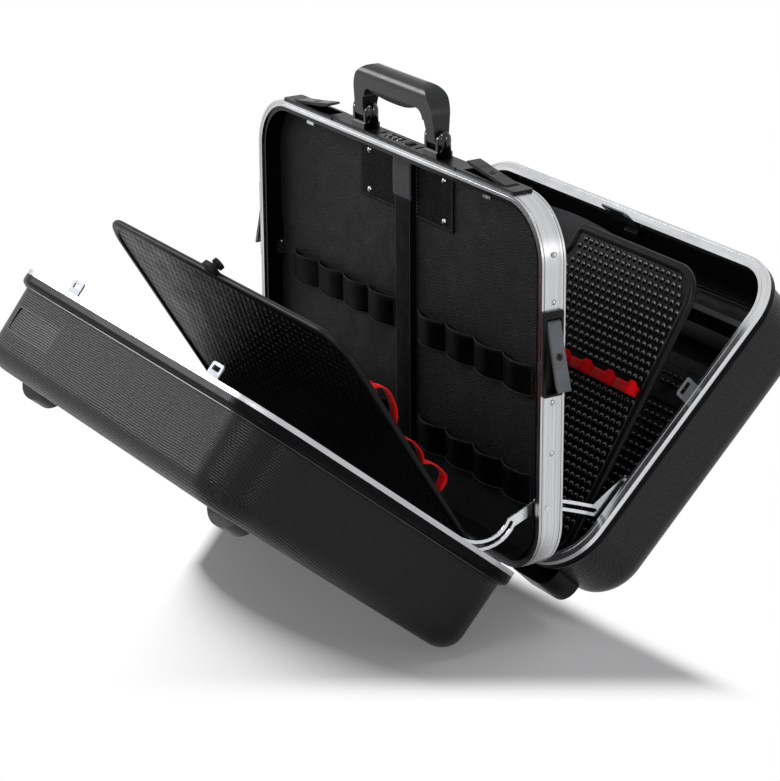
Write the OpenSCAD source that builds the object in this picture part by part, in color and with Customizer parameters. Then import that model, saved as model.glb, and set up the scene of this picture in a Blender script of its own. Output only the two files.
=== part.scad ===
// Tool case with two hinged shells on a centre frame.
// The shells stand open against their slotted stays, the handle is up and the lock levers are raised.
// Frame coordinates: x along the width, y through the depth, z up from the underside of the frame.

/* [Frame] */
// Width over the centre frame
frame_w = 480; // [430:1:560]
// Height of the centre frame
frame_h = 336; // [320:1:400]
// Outer corner radius of frame and shells
corner_r = 52.3; // [46:0.1:60]
// Depth of the centre frame
band_d = 24; // [23:0.5:30]
// Thickness of the aluminium band
band_t = 1.6; // [1.2:0.1:2.2]
// Height of the flanges along the band
flange_h = 5.5; // [4:0.1:6.5]
// How far the black liner reaches in from the outside of the band
liner_in = 10; // [9.5:0.1:14]
// Thickness of the liner
liner_t = 2; // [1.6:0.1:2.6]
// Thickness of the centre panel
panel_t = 3; // [2:0.1:3]
// Where the front face of the centre panel lies, from the middle of the frame
panel_y = 6; // [5:0.1:6]
// How deep the panel edge sits in the liner
panel_seat = 1; // [0.6:0.1:1.4]

/* [Shells] */
// Depth of the front shell
front_depth = 91; // [80:1:130]
// Depth of the rear shell
rear_depth = 84; // [58:0.2:100]
// Gap between shell rim and frame when closed
rim_gap = 0.4; // [0.3:0.1:1]
// Wall thickness of the shells
shell_t = 2.2; // [1.8:0.1:2.4]
// Radius between the side walls and the large face
face_r = 22; // [14:0.5:26]
// How far the shell wall lies inside the outer line at the rim
wall_in = 6.8; // [6.5:0.1:8]
// How much the wall draws in towards the large face
wall_draft = 1.7; // [1:0.1:2.5]
// Length of the badge place on the front shell
badge_l = 80; // [50:1:90]
// Width of the badge place
badge_w = 21.5; // [15:0.5:26]
// Depth of the badge place
badge_d = 0.9; // [0.5:0.1:1.1]
// Middle of the badge place from the side of the frame
badge_in = 89; // [80:1:120]
// Middle of the badge place from the rim
badge_v = 45.3; // [38:0.1:50]

/* [Rim and bumper] */
// Thickness of the rim face
rim_t = 1.6; // [1.2:0.1:2]
// Inner line of the rim
rim_in = 10.6; // [10.6:0.1:12]
// Depth of the outer lip of the rim
lip_d = 4.5; // [3:0.1:6]
// Depth of the rim web behind the bumper
web_d = 16; // [14:0.5:19]
// Thickness of the rim web
web_t = 1.2; // [0.8:0.1:1.3]
// Depth of the inner leg of the rim
leg_d = 10; // [8:0.5:12]
// Radius along the outer edge of the bumper
bumper_r = 5.1; // [3:0.1:5.4]

/* [Opening] */
// How far the front shell stands open in degrees
front_open = 50.6; // [20:0.1:55]
// How far the rear shell stands open in degrees
rear_open = 44.9; // [20:0.1:50]
// How far the hinge pins lie under the frame
hinge_drop = 2.75; // [2.6:0.05:4]
// Radius of the hinge knuckles
knuckle_r = 2.4; // [2:0.1:2.4]
// Radius of the hinge pins
hinge_pin_r = 1.2; // [0.8:0.05:1.4]
// Length of one hinge
hinge_l = 60; // [40:1:90]
// Distance between the hinges
hinge_pitch = 150; // [130:1:160]
// Thickness of the hinge leaves
leaf_t = 1.2; // [0.8:0.1:1.6]

/* [Feet] */
// Height of the bottom feet under the frame line
foot_h = 11; // [8:0.5:14]
// Length of the bottom feet
foot_l = 66; // [50:1:80]
// Middle of the rear bottom feet from the side of the frame
rear_foot_in = 78; // [75:1:100]
// Middle of the front bottom feet from the side of the frame
front_foot_in = 128; // [115:1:180]
// Where the bottom feet begin, from the rim
foot_v0 = 30; // [24:1:34]
// Width of the bottom feet
foot_w = 30; // [20:1:30]
// Radius along the outer edge of the bottom feet
foot_r = 3; // [2:0.1:5]
// Height of the humped feet on the large faces
hump_h = 10; // [6:0.5:12]
// Length of the humped feet
hump_l = 48; // [40:1:80]
// Width of the humped feet
hump_w = 18; // [14:1:32]
// Middle of the humped feet from the side of the frame
hump_in = 60; // [50:1:90]
// Middle of the humped feet above the underside of the frame
hump_z = 268; // [240:1:275]

/* [Stays] */
// Screw on the frame that carries both stays: depth and height
frame_pin = [-3.5, 69];
// Where the front stay pin sits on the closed front shell: from the rim and height
front_stay_pin = [5, 97];
// Where the rear stay turns on the closed rear shell: from the rim and height
rear_stay_piv = [4, 103];
// Direction of the front stay when open and when closed
front_stay_dir = [204.8, 120];
// Direction of the rear stay when open and when closed
rear_stay_dir = [201, 229];
// Thickness of the stays
stay_t = 1.5; // [1:0.1:1.8]
// Width of the strip beside the slot
stay_side = 3; // [2:0.1:4]
// Radius of the stay pins
stay_pin_r = 1.6; // [1.2:0.1:2]
// Running gap of the pins in the slots
slot_gap = 0.35; // [0.2:0.05:0.5]
// Running gap of turning pins
turn_gap = 0.05; // [0.03:0.01:0.1]

/* [Boards] */
// Sides of the tool boards from the side of the frame
board_in = 26; // [24:1:60]
// Thickness of the tool boards
board_t = 3; // [2:0.1:4]
// Height of the front board above its hinge line
front_board_h = 300; // [240:1:302]
// Height of the rear board above its hinge line
rear_board_h = 283; // [240:1:290]
// How far the front board tips out of its shell in degrees
front_board_tip = 19.3; // [5:0.1:22]
// How far the rear board tips out of its shell in degrees
rear_board_tip = 13.2; // [5:0.1:16]
// Depth of the front board hinge line from the rim
front_board_v = 19.2; // [16:0.1:26]
// Depth of the rear board hinge line from the rim
rear_board_v = 12.4; // [9.5:0.1:14]
// Upper corner radius of the boards
board_r = 35; // [20:1:45]
// Width of the edging round the boards
trim_w = 8; // [5:0.5:10]
// Thickness of the edging
trim_t = 4.6; // [4.2:0.1:6]
// Radius of the bead along the lower edge
bead_r = 2.3; // [2:0.1:2.6]
// Height of the hinge line above the shell floor
bead_gap = 0.7; // [0.4:0.1:1.5]
// Width of the cut in the top of the rear board
notch_w = 50; // [30:1:70]
// Depth of the cut in the top of the rear board
notch_d = 30; // [15:1:40]
// Pitch of the elastic loops on the boards
loop_pitch = 34; // [28:1:40]
// Width of the elastic
elastic_w = 15; // [10:1:20]
// How far the elastic loops stand off the board
loop_h = 5; // [4:0.1:5]
// Thickness of the elastic
elastic_t = 1.2; // [1.1:0.1:1.6]

/* [Handle] */
// Height of the handle pivot above the frame
piv_h = 17.3; // [16:0.1:22]
// Radius of the handle pins
handle_pin_r = 2; // [1.5:0.1:2.5]
// Inner face of the handle legs from the middle
leg_in = 53; // [50:0.5:60]
// Thickness of the handle legs
leg_t = 15; // [12:0.5:18]
// Height of the handle top above its pivot
grip_top = 46.7; // [44:0.1:60]
// Height of the bar
bar_h = 22; // [18:0.5:24]
// Half width of the bar through the depth
bar_w = 11; // [9:0.1:12]
// Half width of the legs at the pivot
leg_w = 7; // [6:0.1:8]
// Outer corner radius of the handle
handle_r = 28; // [20:0.5:30]
// How far the grip pad bows down
pad_h = 6; // [3:0.1:8]
// Thickness of the ears that hold the handle
ear_t = 3; // [2:0.1:4]
// Side gap between ear and handle leg
ear_gap = 0.15; // [0.1:0.05:0.4]
// Height of the block between the ears
ear_block = 6.6; // [4:0.1:7]

/* [Top strip and combination lock] */
// Half width of the top strip
strip_w = 9.6; // [8:0.1:10]
// Thickness of the top strip and of the lock plates
strip_t = 2.4; // [1.8:0.1:3]
// Half length of the combination lock housing
combo_l = 33; // [30:0.5:38]
// Half width of the combination lock housing
combo_w = 8; // [7:0.1:8.4]
// Radius of the number rings
dial_r = 5; // [4.4:0.1:5.2]
// Pitch of the number rings
dial_pitch = 8; // [7:0.1:9]
// Middle ring from the middle of the case
dial_x = -10; // [-12:0.5:-8]
// Radius of the shaft through the rings
shaft_r = 1.5; // [1:0.1:1.8]
// Travel of the opening slide
slide_travel = 3; // [2:0.1:4]

/* [Tilt locks] */
// Length of the lock lever from its pivot
lever_l = 57; // [45:1:58]
// Width of the lock lever
lever_w = 13; // [11:0.1:14]
// Thickness of the lock lever
lever_t = 3.4; // [2.6:0.1:4]
// Radius of the lever pins
lever_pin_r = 1.5; // [1:0.1:1.8]
// How far the top levers stand raised
top_raise = 8; // [0:0.5:8]
// How far the side levers stand raised
side_raise = 16; // [0:0.5:16]
// Radius of the key plugs
plug_r = 3.2; // [2.6:0.1:3.6]
// Key plug from the lever pivot
plug_s = 27; // [20:0.5:32]
// Pivot of the top levers from the side of the frame
top_lock_in = 67; // [64:0.5:70]
// Pivot of the side levers above the underside of the frame
side_lock_z = 233; // [220:1:240]
// Half width of the lock plates
plate_w = 10; // [9:0.1:11]

/* [Catches] */
// Width of the catch loops
catch_w = 19; // [12:0.5:22]
// Reach of the catch loops out of the rim
catch_l = 13; // [10:0.5:14]
// Thickness of the catch loops
catch_t = 1.4; // [1:0.1:1.8]
// Front catches from the side of the frame
front_catch_in = 109; // [100:1:125]
// Side catches above the underside of the frame
side_catch_z = 198; // [185:1:210]

/* [Pockets] */
// Bulge of the pocket loops from the panel
pocket_h = 8; // [6.5:0.1:8.5]
// Thickness of the pocket webbing
pocket_t = 1.2; // [0.8:0.1:1.4]
// Inner end of the pocket rows from the middle
pocket_x0 = 20; // [18:0.5:30]
// Outer end of the pocket rows from the side of the frame
pocket_in = 36; // [30:0.5:60]
// Top of the upper pocket row
upper_top = 186; // [150:1:190]
// Height of the upper pocket row
upper_h = 30; // [20:1:45]
// Top of the lower pocket row
lower_top = 86; // [70:1:100]
// Height of the lower pocket row
lower_h = 30; // [20:1:60]
// Width of the centre strap
strap_w = 29; // [20:0.5:32]
// Thickness of the centre strap
strap_t = 5; // [2:0.1:6]

/* [Hidden] */
$fn = 48;
e = 0.01;

// Plane of the closed rims, and heights that follow from the sizes above
rim_y = band_d / 2 + rim_gap;
panel_in = liner_in - panel_seat + 0.1;
wall_face = wall_in + wall_draft;
stay_x = frame_w / 2 - rim_in - 1.4 - stay_t;
rear_stay_x = stay_x - stay_t - 0.3;
stay_head = 0.9;
catch_u = rim_in;
board_x = frame_w / 2 - board_in;
pocket_w = (frame_w / 2 - pocket_in - pocket_x0) / 4;
badge_x = frame_w / 2 - badge_in;
rear_foot_x = frame_w / 2 - rear_foot_in;
front_foot_x = frame_w / 2 - front_foot_in;
hump_x = frame_w / 2 - hump_in;
front_catch_x = frame_w / 2 - front_catch_in;
top_lock_x = frame_w / 2 - top_lock_in;
// The top strip ends short of the lock plates
strip_l = top_lock_x - lever_l - 12;
top_z = frame_h + strip_t;
piv_z = frame_h + piv_h;
bead_z = wall_in + shell_t + bead_r + bead_gap;

// Turning a point of a closed shell to its open place
function turn(p, c, a) = c + [(p - c).x * cos(a) - (p - c).y * sin(a), (p - c).x * sin(a) + (p - c).y * cos(a)];
front_hinge = [-rim_y, -hinge_drop];
rear_hinge = [rim_y, -hinge_drop];

// The open case stands on the round lower edge of the front shell and on the rear feet,
// so the whole case leans until both touch the ground.
front_edge = turn([-rim_y - front_depth + face_r, wall_face + face_r], front_hinge, front_open);
rear_edge = turn([rim_y + foot_v0 + foot_w - foot_r, foot_r - foot_h], rear_hinge, -rear_open);
edge_d = rear_edge - front_edge;
lean = asin((face_r - foot_r) / norm(edge_d)) - atan2(-edge_d.y, edge_d.x);
lift = face_r + front_edge.x * sin(lean) - front_edge.y * cos(lean);
front_top = turn([-rim_y - front_depth + face_r, frame_h - wall_face - face_r], front_hinge, front_open);
rear_top = turn([rim_y + rear_depth - face_r, frame_h - wall_face - face_r], rear_hinge, -rear_open);
y_min = front_top.x * cos(lean) + front_top.y * sin(lean) - face_r;
y_max = rear_top.x * cos(lean) + rear_top.y * sin(lean) + face_r;
y_shift = -(y_min + y_max) / 2;

module stand() {
    translate([0, y_shift, lift]) rotate([-lean, 0, 0]) children();
}
module in_front() {
    stand() translate([0, -rim_y, -hinge_drop]) rotate([front_open, 0, 0])
        translate([0, rim_y, hinge_drop]) children();
}
module in_rear() {
    stand() translate([0, rim_y, -hinge_drop]) rotate([-rear_open, 0, 0])
        translate([0, -rim_y, hinge_drop]) children();
}
// Shell coordinates: x along the width, y up, z the depth from the rim
module front_local() {
    in_front() translate([0, -rim_y, 0]) rotate([90, 0, 0]) children();
}
module rear_local() {
    in_rear() mirror([0, 1, 0]) translate([0, -rim_y, 0]) rotate([90, 0, 0]) children();
}
// A profile swept round the outer line: x of the profile points outwards, y along the depth
module ring(w = frame_w, h = frame_h, r = corner_r) {
    translate([0, h / 2, 0]) for (i = [0:3]) rotate([0, 0, 90 * i]) {
        a = i % 2 == 0 ? h / 2 : w / 2;
        b = i % 2 == 0 ? w / 2 : h / 2;
        translate([-(b - r), a, 0]) rotate([90, 0, 90]) linear_extrude(2 * (b - r)) children();
        translate([b - r, a - r, 0]) rotate_extrude(angle = 90, $fn = 64) translate([r, 0]) children();
    }
}
module both() {
    children();
    mirror([1, 0, 0]) children();
}
// A rectangle with round corners, by its lower left corner
module round_rect(w, h, r) {
    translate([r, 0]) square([w - 2 * r, h]);
    translate([0, r]) square([w, h - 2 * r]);
    for (x = [r, w - r], y = [r, h - r]) translate([x, y]) circle(r);
}
// A box from corner a to corner b
module box(a, b) {
    translate(a) cube(b - a);
}
// A flat strip that follows points
function unit(v) = v / norm(v);
function to_left(v) = [-v.y, v.x];
// A line of points moved to its left by r
function side_points(pts, r) = [for (i = [0:len(pts) - 1])
    let (a = i > 0 ? unit(pts[i] - pts[i - 1]) : unit(pts[1] - pts[0]),
        b = i < len(pts) - 1 ? unit(pts[i + 1] - pts[i]) : a, m = unit(a + b))
    pts[i] + to_left(m) * r / (m * a)];
// Points round the end at c, looking along d
function end_points(c, d, r, n = 14) = [for (k = [1:n - 1])
    c + r * (cos(90 - 180 * k / n) * d + sin(90 - 180 * k / n) * to_left(d))];
// A strip with round ends, 2 r wide, along a line of points
module strip(pts, r) {
    n = len(pts);
    right = side_points(pts, -r);
    polygon(concat(side_points(pts, r), end_points(pts[n - 1], unit(pts[n - 1] - pts[n - 2]), r),
        [for (i = [n - 1:-1:0]) right[i]], end_points(pts[0], unit(pts[0] - pts[1]), r)));
}
// A round bar along x from x0 to x1
module bar_x(x0, x1, y, z, r) {
    translate([x0, y, z]) rotate([0, 90, 0]) cylinder(h = x1 - x0, r = r);
}

// Centre frame
module band_profile() {
    difference() {
        union() {
            translate([-band_t, -band_d / 2]) square([band_t, band_d]);
            for (s = [-1, 1]) translate([-flange_h, s > 0 ? band_d / 2 - band_t : -band_d / 2])
                square([flange_h, band_t]);
        }
        for (s = [-1, 1]) translate([-band_t / 2, s * (band_d / 2 - 2.4) - 0.4]) square([band_t, 0.8]);
        for (s = [-1, 1]) translate([-3, s > 0 ? band_d / 2 - 0.6 : -band_d / 2 - 0.4]) square([0.6, 1]);
    }
}
rivet_z = [frame_h - 42, frame_h - 83, 164, 118];
// Cut-outs in the band for the lock trays and the combination lock
tray_s0 = -7.5;
tray_s1 = lever_l + 5;
tray_w = 8.4;
tray_d = liner_in - liner_t - 0.2;
module tray_block(grow, d) {
    box([tray_s0 - grow, -tray_w - grow, -d], [tray_s1 + grow, tray_w + grow, 0]);
}
module at_top_lock() {
    translate([top_lock_x, 0, frame_h]) mirror([1, 0, 0]) children();
}
side_lock_y = -1;
module at_side_lock() {
    translate([frame_w / 2, side_lock_y, side_lock_z]) rotate([0, 90, 0]) children();
}
module frame_band() {
    color("silver") stand() difference() {
        rotate([90, 0, 0]) ring() band_profile();
        both() {
            at_top_lock() translate([0, 0, 1]) tray_block(0.2, 4);
            at_side_lock() translate([0, 0, 1]) tray_block(0.2, 4);
            for (z = rivet_z) bar_x(frame_w / 2 - 4, frame_w / 2 + 1, 0, z, 1.65);
            bar_x(frame_w / 2 - 4, frame_w / 2 + 1, frame_pin.x, frame_pin.y, stay_pin_r + 0.05);
        }
        box([-combo_l - 0.2, -combo_w - 0.2, frame_h - 3], [combo_l + 0.2, combo_w + 0.2, frame_h + 1]);
    }
}
module liner_profile() {
    w = band_d / 2 - band_t - 0.1;
    difference() {
        translate([-liner_in, -w]) square([liner_in - band_t, 2 * w]);
        translate([-liner_in + liner_t, -w + 1.5]) square([liner_in, 2 * w - 3]);
        translate([-liner_in - 1, -panel_y - panel_t - 0.1]) square([panel_seat + 1, panel_t + 0.2]);
    }
}
module frame_liner() {
    color("#1c1c1e") stand() difference() {
        rotate([90, 0, 0]) ring() liner_profile();
        both() {
            bar_x(frame_w / 2 - liner_in - 1, frame_w / 2, frame_pin.x, frame_pin.y, stay_pin_r + 0.05);
            at_side_lock() tray_block(0.3, tray_d + 0.1);
        }
    }
}
module panel_outline(cut) {
    translate([-frame_w / 2 + cut, cut]) round_rect(frame_w - 2 * cut, frame_h - 2 * cut, corner_r - cut);
}
// Room in the panel edge for the rear stays, the side catches and the top catch
stay_cut_z = [14, 118];
module centre_panel() {
    color("#222325") stand() difference() {
        translate([0, panel_y + panel_t, 0]) rotate([90, 0, 0]) linear_extrude(panel_t) difference() {
            panel_outline(panel_in);
            both() {
                translate([rear_stay_x - 2, stay_cut_z[0]]) square([20, stay_cut_z[1] - stay_cut_z[0]]);
                translate([frame_w / 2 - catch_u - catch_t - 1, side_catch_z - catch_w / 2 - 2])
                    square([20, catch_w + 4]);
            }
            translate([-top_catch_w / 2 - 2, frame_h - catch_u - catch_t - 1.2]) square([top_catch_w + 4, 30]);
            for (p = patch_rivets) translate(p) circle(1.55);
        }
    }
}
patch_x = [16, 78];
patch_z = [frame_h - 66, frame_h - liner_in - 5];
patch_t = 1.2;
patch_rivets = [for (s = [-1, 1], z = [58.4, 21]) [s * 63, frame_h - z]];
module panel_patches() {
    color("#2a2b2d") stand() both() translate([0, panel_y, 0]) rotate([90, 0, 0]) linear_extrude(patch_t)
        difference() {
            translate([patch_x[0], patch_z[0]]) round_rect(patch_x[1] - patch_x[0], patch_z[1] - patch_z[0], 3);
            for (p = patch_rivets) translate(p) circle(1.55);
        }
}
module panel_rivets() {
    for (p = patch_rivets) translate([p.x, 0, p.y]) rotate([90, 0, 0]) {
        translate([0, 0, -panel_y - panel_t - 0.8]) cylinder(h = 0.8, r = 2.6);
        translate([0, 0, -panel_y - panel_t - e]) cylinder(h = panel_t + patch_t + 2 * e, r = 1.5);
        translate([0, 0, -panel_y + patch_t]) rotate_extrude() intersection() {
            translate([0, -2.3]) circle(3.8);
            square([3, 2]);
        }
    }
}
strap_top = frame_h - catch_u - catch_t - 2;
module centre_strap() {
    color("#323436") stand() {
        box([-strap_w / 2, panel_y - strap_t, liner_in + 0.3], [strap_w / 2, panel_y, strap_top - 14]);
        box([-strap_w / 2 - 1.2, panel_y - strap_t - 1, strap_top - 14], [strap_w / 2 + 1.2, panel_y, strap_top]);
    }
}
// One row of webbing that stands off the panel in round loops
module pocket_row(z0, z1) {
    r = (pow(pocket_w / 2, 2) + pow(pocket_h, 2)) / (2 * pocket_h);
    both() translate([0, panel_y, z0]) linear_extrude(z1 - z0) for (i = [0:3]) {
        translate([pocket_x0 + pocket_w * (i + 0.5), 0]) difference() {
            intersection() {
                translate([0, r - pocket_h]) circle(r, $fn = 96);
                translate([-pocket_w / 2, -pocket_h]) square([pocket_w, pocket_h]);
            }
            intersection() {
                translate([0, r - pocket_h]) circle(r - pocket_t, $fn = 96);
                translate([-pocket_w / 2, -pocket_h]) square([pocket_w, pocket_h + 1]);
            }
        }
    }
}
module upper_pockets() {
    color("#242527") stand() pocket_row(upper_top - upper_h, upper_top);
}
module lower_pockets() {
    color("#242527") stand() pocket_row(lower_top - lower_h, lower_top);
}

// Top strip, handle mounts and handle
module top_strip() {
    color("#2b2c2e") stand() difference() {
        translate([-strip_l, -strip_w, frame_h]) linear_extrude(strip_t)
            round_rect(2 * strip_l, 2 * strip_w, 1.5);
        box([-combo_l - 0.1, -combo_w - 0.1, frame_h - 1], [combo_l + 0.1, combo_w + 0.1, top_z + 1]);
    }
}
module handle_mounts() {
    x0 = leg_in - ear_gap - ear_t;
    x1 = leg_in + leg_t + ear_gap + ear_t;
    color("#0c0c0d") stand() both() difference() {
        union() {
            for (x = [x0, x1 - ear_t]) translate([x, 0, 0]) rotate([90, 0, 90]) linear_extrude(ear_t) {
                translate([-leg_w, top_z]) square([2 * leg_w, piv_z - top_z]);
                translate([0, piv_z]) circle(leg_w);
            }
            box([x0, -leg_w - 1.5, top_z], [x1, leg_w + 1.5, top_z + ear_block - 1.6]);
            box([x0, -leg_w, top_z], [x1, leg_w, top_z + ear_block]);
        }
        bar_x(x0 - 1, x1 + 1, 0, piv_z, handle_pin_r + turn_gap);
    }
}
module handle_pins() {
    both()
        bar_x(leg_in - ear_gap - ear_t, leg_in + leg_t + ear_gap + ear_t, 0, piv_z, handle_pin_r);
}
bar_under = piv_z + grip_top - bar_h;
module handle() {
    color("#303134") stand() difference() {
        intersection() {
            // Seen from the front
            rotate([90, 0, 0]) translate([0, 0, -20]) linear_extrude(40) difference() {
                union() {
                    cx = leg_in + leg_t - 2 - handle_r;
                    cz = piv_z + grip_top - handle_r;
                    for (s = [-1, 1]) translate([s * cx, cz]) circle(handle_r, $fn = 96);
                    translate([-cx, cz]) square([2 * cx, handle_r]);
                    polygon([
                        [-cx - handle_r, cz], [cx + handle_r, cz],
                        [leg_in + leg_t, piv_z - leg_w], [-leg_in - leg_t, piv_z - leg_w]
                    ]);
                }
                difference() {
                    polygon([
                        [-leg_in, piv_z - leg_w - 1], [leg_in, piv_z - leg_w - 1],
                        [leg_in, piv_z + leg_w + 1], [leg_in - 4, bar_under],
                        [-leg_in + 4, bar_under], [-leg_in, piv_z + leg_w + 1]
                    ]);
                    for (s = [-1, 1]) scale([s, 1]) translate([leg_in - 4 - 9.2, bar_under - 9]) difference() {
                        square([20, 20]);
                        circle(9);
                    }
                }
            }
            // Seen from the end: narrow at the pivot, round along the top
            rotate([90, 0, 90]) translate([0, 0, -100]) linear_extrude(200) {
                translate([0, piv_z]) circle(leg_w);
                polygon([
                    [-leg_w, piv_z], [leg_w, piv_z],
                    [bar_w, piv_z + grip_top - bar_w], [-bar_w, piv_z + grip_top - bar_w]
                ]);
                translate([0, piv_z + grip_top - bar_w]) circle(bar_w, $fn = 96);
            }
        }
        bar_x(-leg_in - leg_t - 1, leg_in + leg_t + 1, 0, piv_z, handle_pin_r + turn_gap);
    }
}
module handle_grip() {
    half = leg_in - 4 - 9.4;
    r = (half * half + pad_h * pad_h) / (2 * pad_h);
    color("#18181a") stand() intersection() {
        rotate([90, 0, 0]) translate([0, 0, -20]) linear_extrude(40) intersection() {
            translate([0, bar_under - pad_h + r]) circle(r, $fn = 160);
            translate([-half, bar_under - pad_h]) square([2 * half, pad_h]);
        }
        rotate([90, 0, 90]) translate([0, 0, -100]) linear_extrude(200) intersection() {
            translate([0, bar_under + 2]) circle(bar_w - 0.8);
            translate([-bar_w, bar_under - 12]) square([2 * bar_w, 12]);
        }
    }
}

// Combination lock
dial_z = top_z + 0.8 - dial_r;
module combination_housing() {
    z0 = frame_h - liner_in + liner_t + 0.1;
    color("#2b2c2e") stand() difference() {
        box([-combo_l, -combo_w, z0], [combo_l, combo_w, top_z]);
        for (i = [-1:1]) box([dial_x + i * dial_pitch - 3.4, -dial_r - 0.5, z0 + 0.6],
            [dial_x + i * dial_pitch + 3.4, dial_r + 0.5, top_z + 1]);
        bar_x(dial_x - dial_pitch - 7, dial_x + dial_pitch + 7, 0, dial_z, shaft_r + turn_gap);
        // Round hollows at both ends
        for (s = [-1, 1]) translate([s * (combo_l + 2), 0, top_z - 1.2]) cylinder(h = 2, r = 6.2);
        // Seat and window of the slide
        box([slide_x - 4.5, -5.3, top_z - 4.2], [slide_x + 4.5 + slide_travel, 5.3, top_z - 1.2]);
        box([slide_x - 3.3, -4.2, top_z - 4.2], [slide_x + 3.3 + slide_travel, 4.2, top_z + 1]);
    }
}
slide_x = 16;
module dial_shaft() {
    bar_x(dial_x - dial_pitch - 6.8, dial_x + dial_pitch + 6.8, 0, dial_z, shaft_r);
}
module dial(i) {
    color("#e6e6e6") stand() translate([dial_x + i * dial_pitch - 3.1, 0, dial_z]) rotate([0, 90, 0])
        difference() {
            cylinder(h = 6.2, r = dial_r);
            translate([0, 0, -1]) cylinder(h = 9, r = shaft_r + turn_gap);
            for (k = [0:9]) rotate([0, 0, 36 * k + 18]) translate([dial_r + 0.35, 0, -1])
                cylinder(h = 9, r = 0.8, $fn = 16);
        }
}
module dial_1() dial(-1);
module dial_2() dial(0);
module dial_3() dial(1);
module lock_slide() {
    color("#1c1c1e") stand() {
        box([slide_x - 4.2, -5, top_z - 4], [slide_x + 4.2, 5, top_z - 1.5]);
        difference() {
            box([slide_x - 3, -3.9, top_z - 4], [slide_x + 3, 3.9, top_z + 1.2]);
            for (i = [-1:1]) translate([slide_x + 2 * i, 0, top_z + 1.5]) rotate([90, 0, 0])
                cylinder(h = 10, r = 0.6, center = true);
        }
    }
}

// Tilt locks, drawn with the pivot at the origin, the lever towards +x and outwards up
lever_n = 0.2;
module lock_plate(s0, s1) {
    difference() {
        union() {
            translate([s0, -plate_w, 0]) linear_extrude(strip_t) round_rect(s1 - s0, 2 * plate_w, 2);
            tray_block(0, tray_d);
        }
        box([tray_s0 + 1.2, -tray_w + 1.2, 1.2 - tray_d], [tray_s1 - 1.2, tray_w - 1.2, strip_t + 1]);
        translate([0, 0, lever_n]) rotate([90, 0, 0])
            cylinder(h = 2 * tray_w + 2, r = lever_pin_r + turn_gap, center = true);
    }
}
module lever_shape(a) {
    translate([0, 0, lever_n]) rotate([0, -a, 0]) difference() {
        union() {
            // The lever, thinner towards the free end
            translate([0, lever_w / 2, 0]) rotate([90, 0, 0]) linear_extrude(lever_w) difference() {
                polygon([
                    [-4, 0.6], [lever_l - 6, 0.6], [lever_l, 2.2], [lever_l, lever_t - 0.2],
                    [lever_l - 1, lever_t + 0.4], [lever_l - 14, lever_t + 0.4], [lever_l - 20, lever_t],
                    [-2, lever_t], [-4, lever_t - 1.4]
                ]);
            }
            // Lug and drawing hook under the pivot
            translate([0, 3, 0]) rotate([90, 0, 0]) linear_extrude(6) {
                circle(2.9);
                translate([-2.9, 0]) square([5.8, 1]);
                difference() {
                    translate([2.2, -1.6]) circle(4.4);
                    translate([3.4, -1.2]) circle(3);
                    translate([2.2, -1.6]) rotate(-20) square([10, 10]);
                    translate([-10, 0]) square([20, 10]);
                }
            }
        }
        rotate([90, 0, 0]) cylinder(h = lever_w + 2, r = lever_pin_r + turn_gap, center = true);
        translate([plug_s, 0, -1]) cylinder(h = 8, r = plug_r + turn_gap);
    }
}
module plug_shape(a) {
    translate([0, 0, lever_n]) rotate([0, -a, 0]) translate([plug_s, 0, 0]) difference() {
        union() {
            translate([0, 0, -0.4]) cylinder(h = lever_t + 0.8, r = plug_r);
            box([-5.2, -1.6, -1.6], [5.2, 1.6, -0.4]);
        }
        translate([0, 0, lever_t - 0.8]) linear_extrude(3) {
            translate([-1.9, -0.45]) square([3.8, 0.9]);
            circle(0.9, $fn = 24);
        }
    }
}
module top_lock_trays() {
    color("#3a3c3f") stand() both() at_top_lock()
        lock_plate(top_lock_x - frame_w / 2 + corner_r - 6, top_lock_x - strip_l - 0.3);
}
module side_lock_trays() {
    color("#3a3c3f") stand() both() at_side_lock() lock_plate(-13, tray_s1 + 1);
}
module lever_pins() {
    both() {
        at_top_lock() translate([0, 0, lever_n]) rotate([90, 0, 0])
            cylinder(h = 2 * tray_w, r = lever_pin_r, center = true);
        at_side_lock() translate([0, 0, lever_n]) rotate([90, 0, 0])
            cylinder(h = 2 * tray_w, r = lever_pin_r, center = true);
    }
}
module pivot_pins() {
    color("silver") stand() {
        handle_pins();
        dial_shaft();
        lever_pins();
    }
}
module top_lever_right() color("#45474b") stand() at_top_lock() lever_shape(top_raise);
module top_lever_left() color("#45474b") stand() mirror([1, 0, 0]) at_top_lock() lever_shape(top_raise);
module side_lever_right() color("#55575b") stand() at_side_lock() lever_shape(side_raise);
module side_lever_left() color("#55575b") stand() mirror([1, 0, 0]) at_side_lock() lever_shape(side_raise);
module top_plug_right() color("silver") stand() at_top_lock() plug_shape(top_raise);
module top_plug_left() color("silver") stand() mirror([1, 0, 0]) at_top_lock() plug_shape(top_raise);
module side_plug_right() color("silver") stand() at_side_lock() plug_shape(side_raise);
module side_plug_left() color("silver") stand() mirror([1, 0, 0]) at_side_lock() plug_shape(side_raise);

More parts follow.
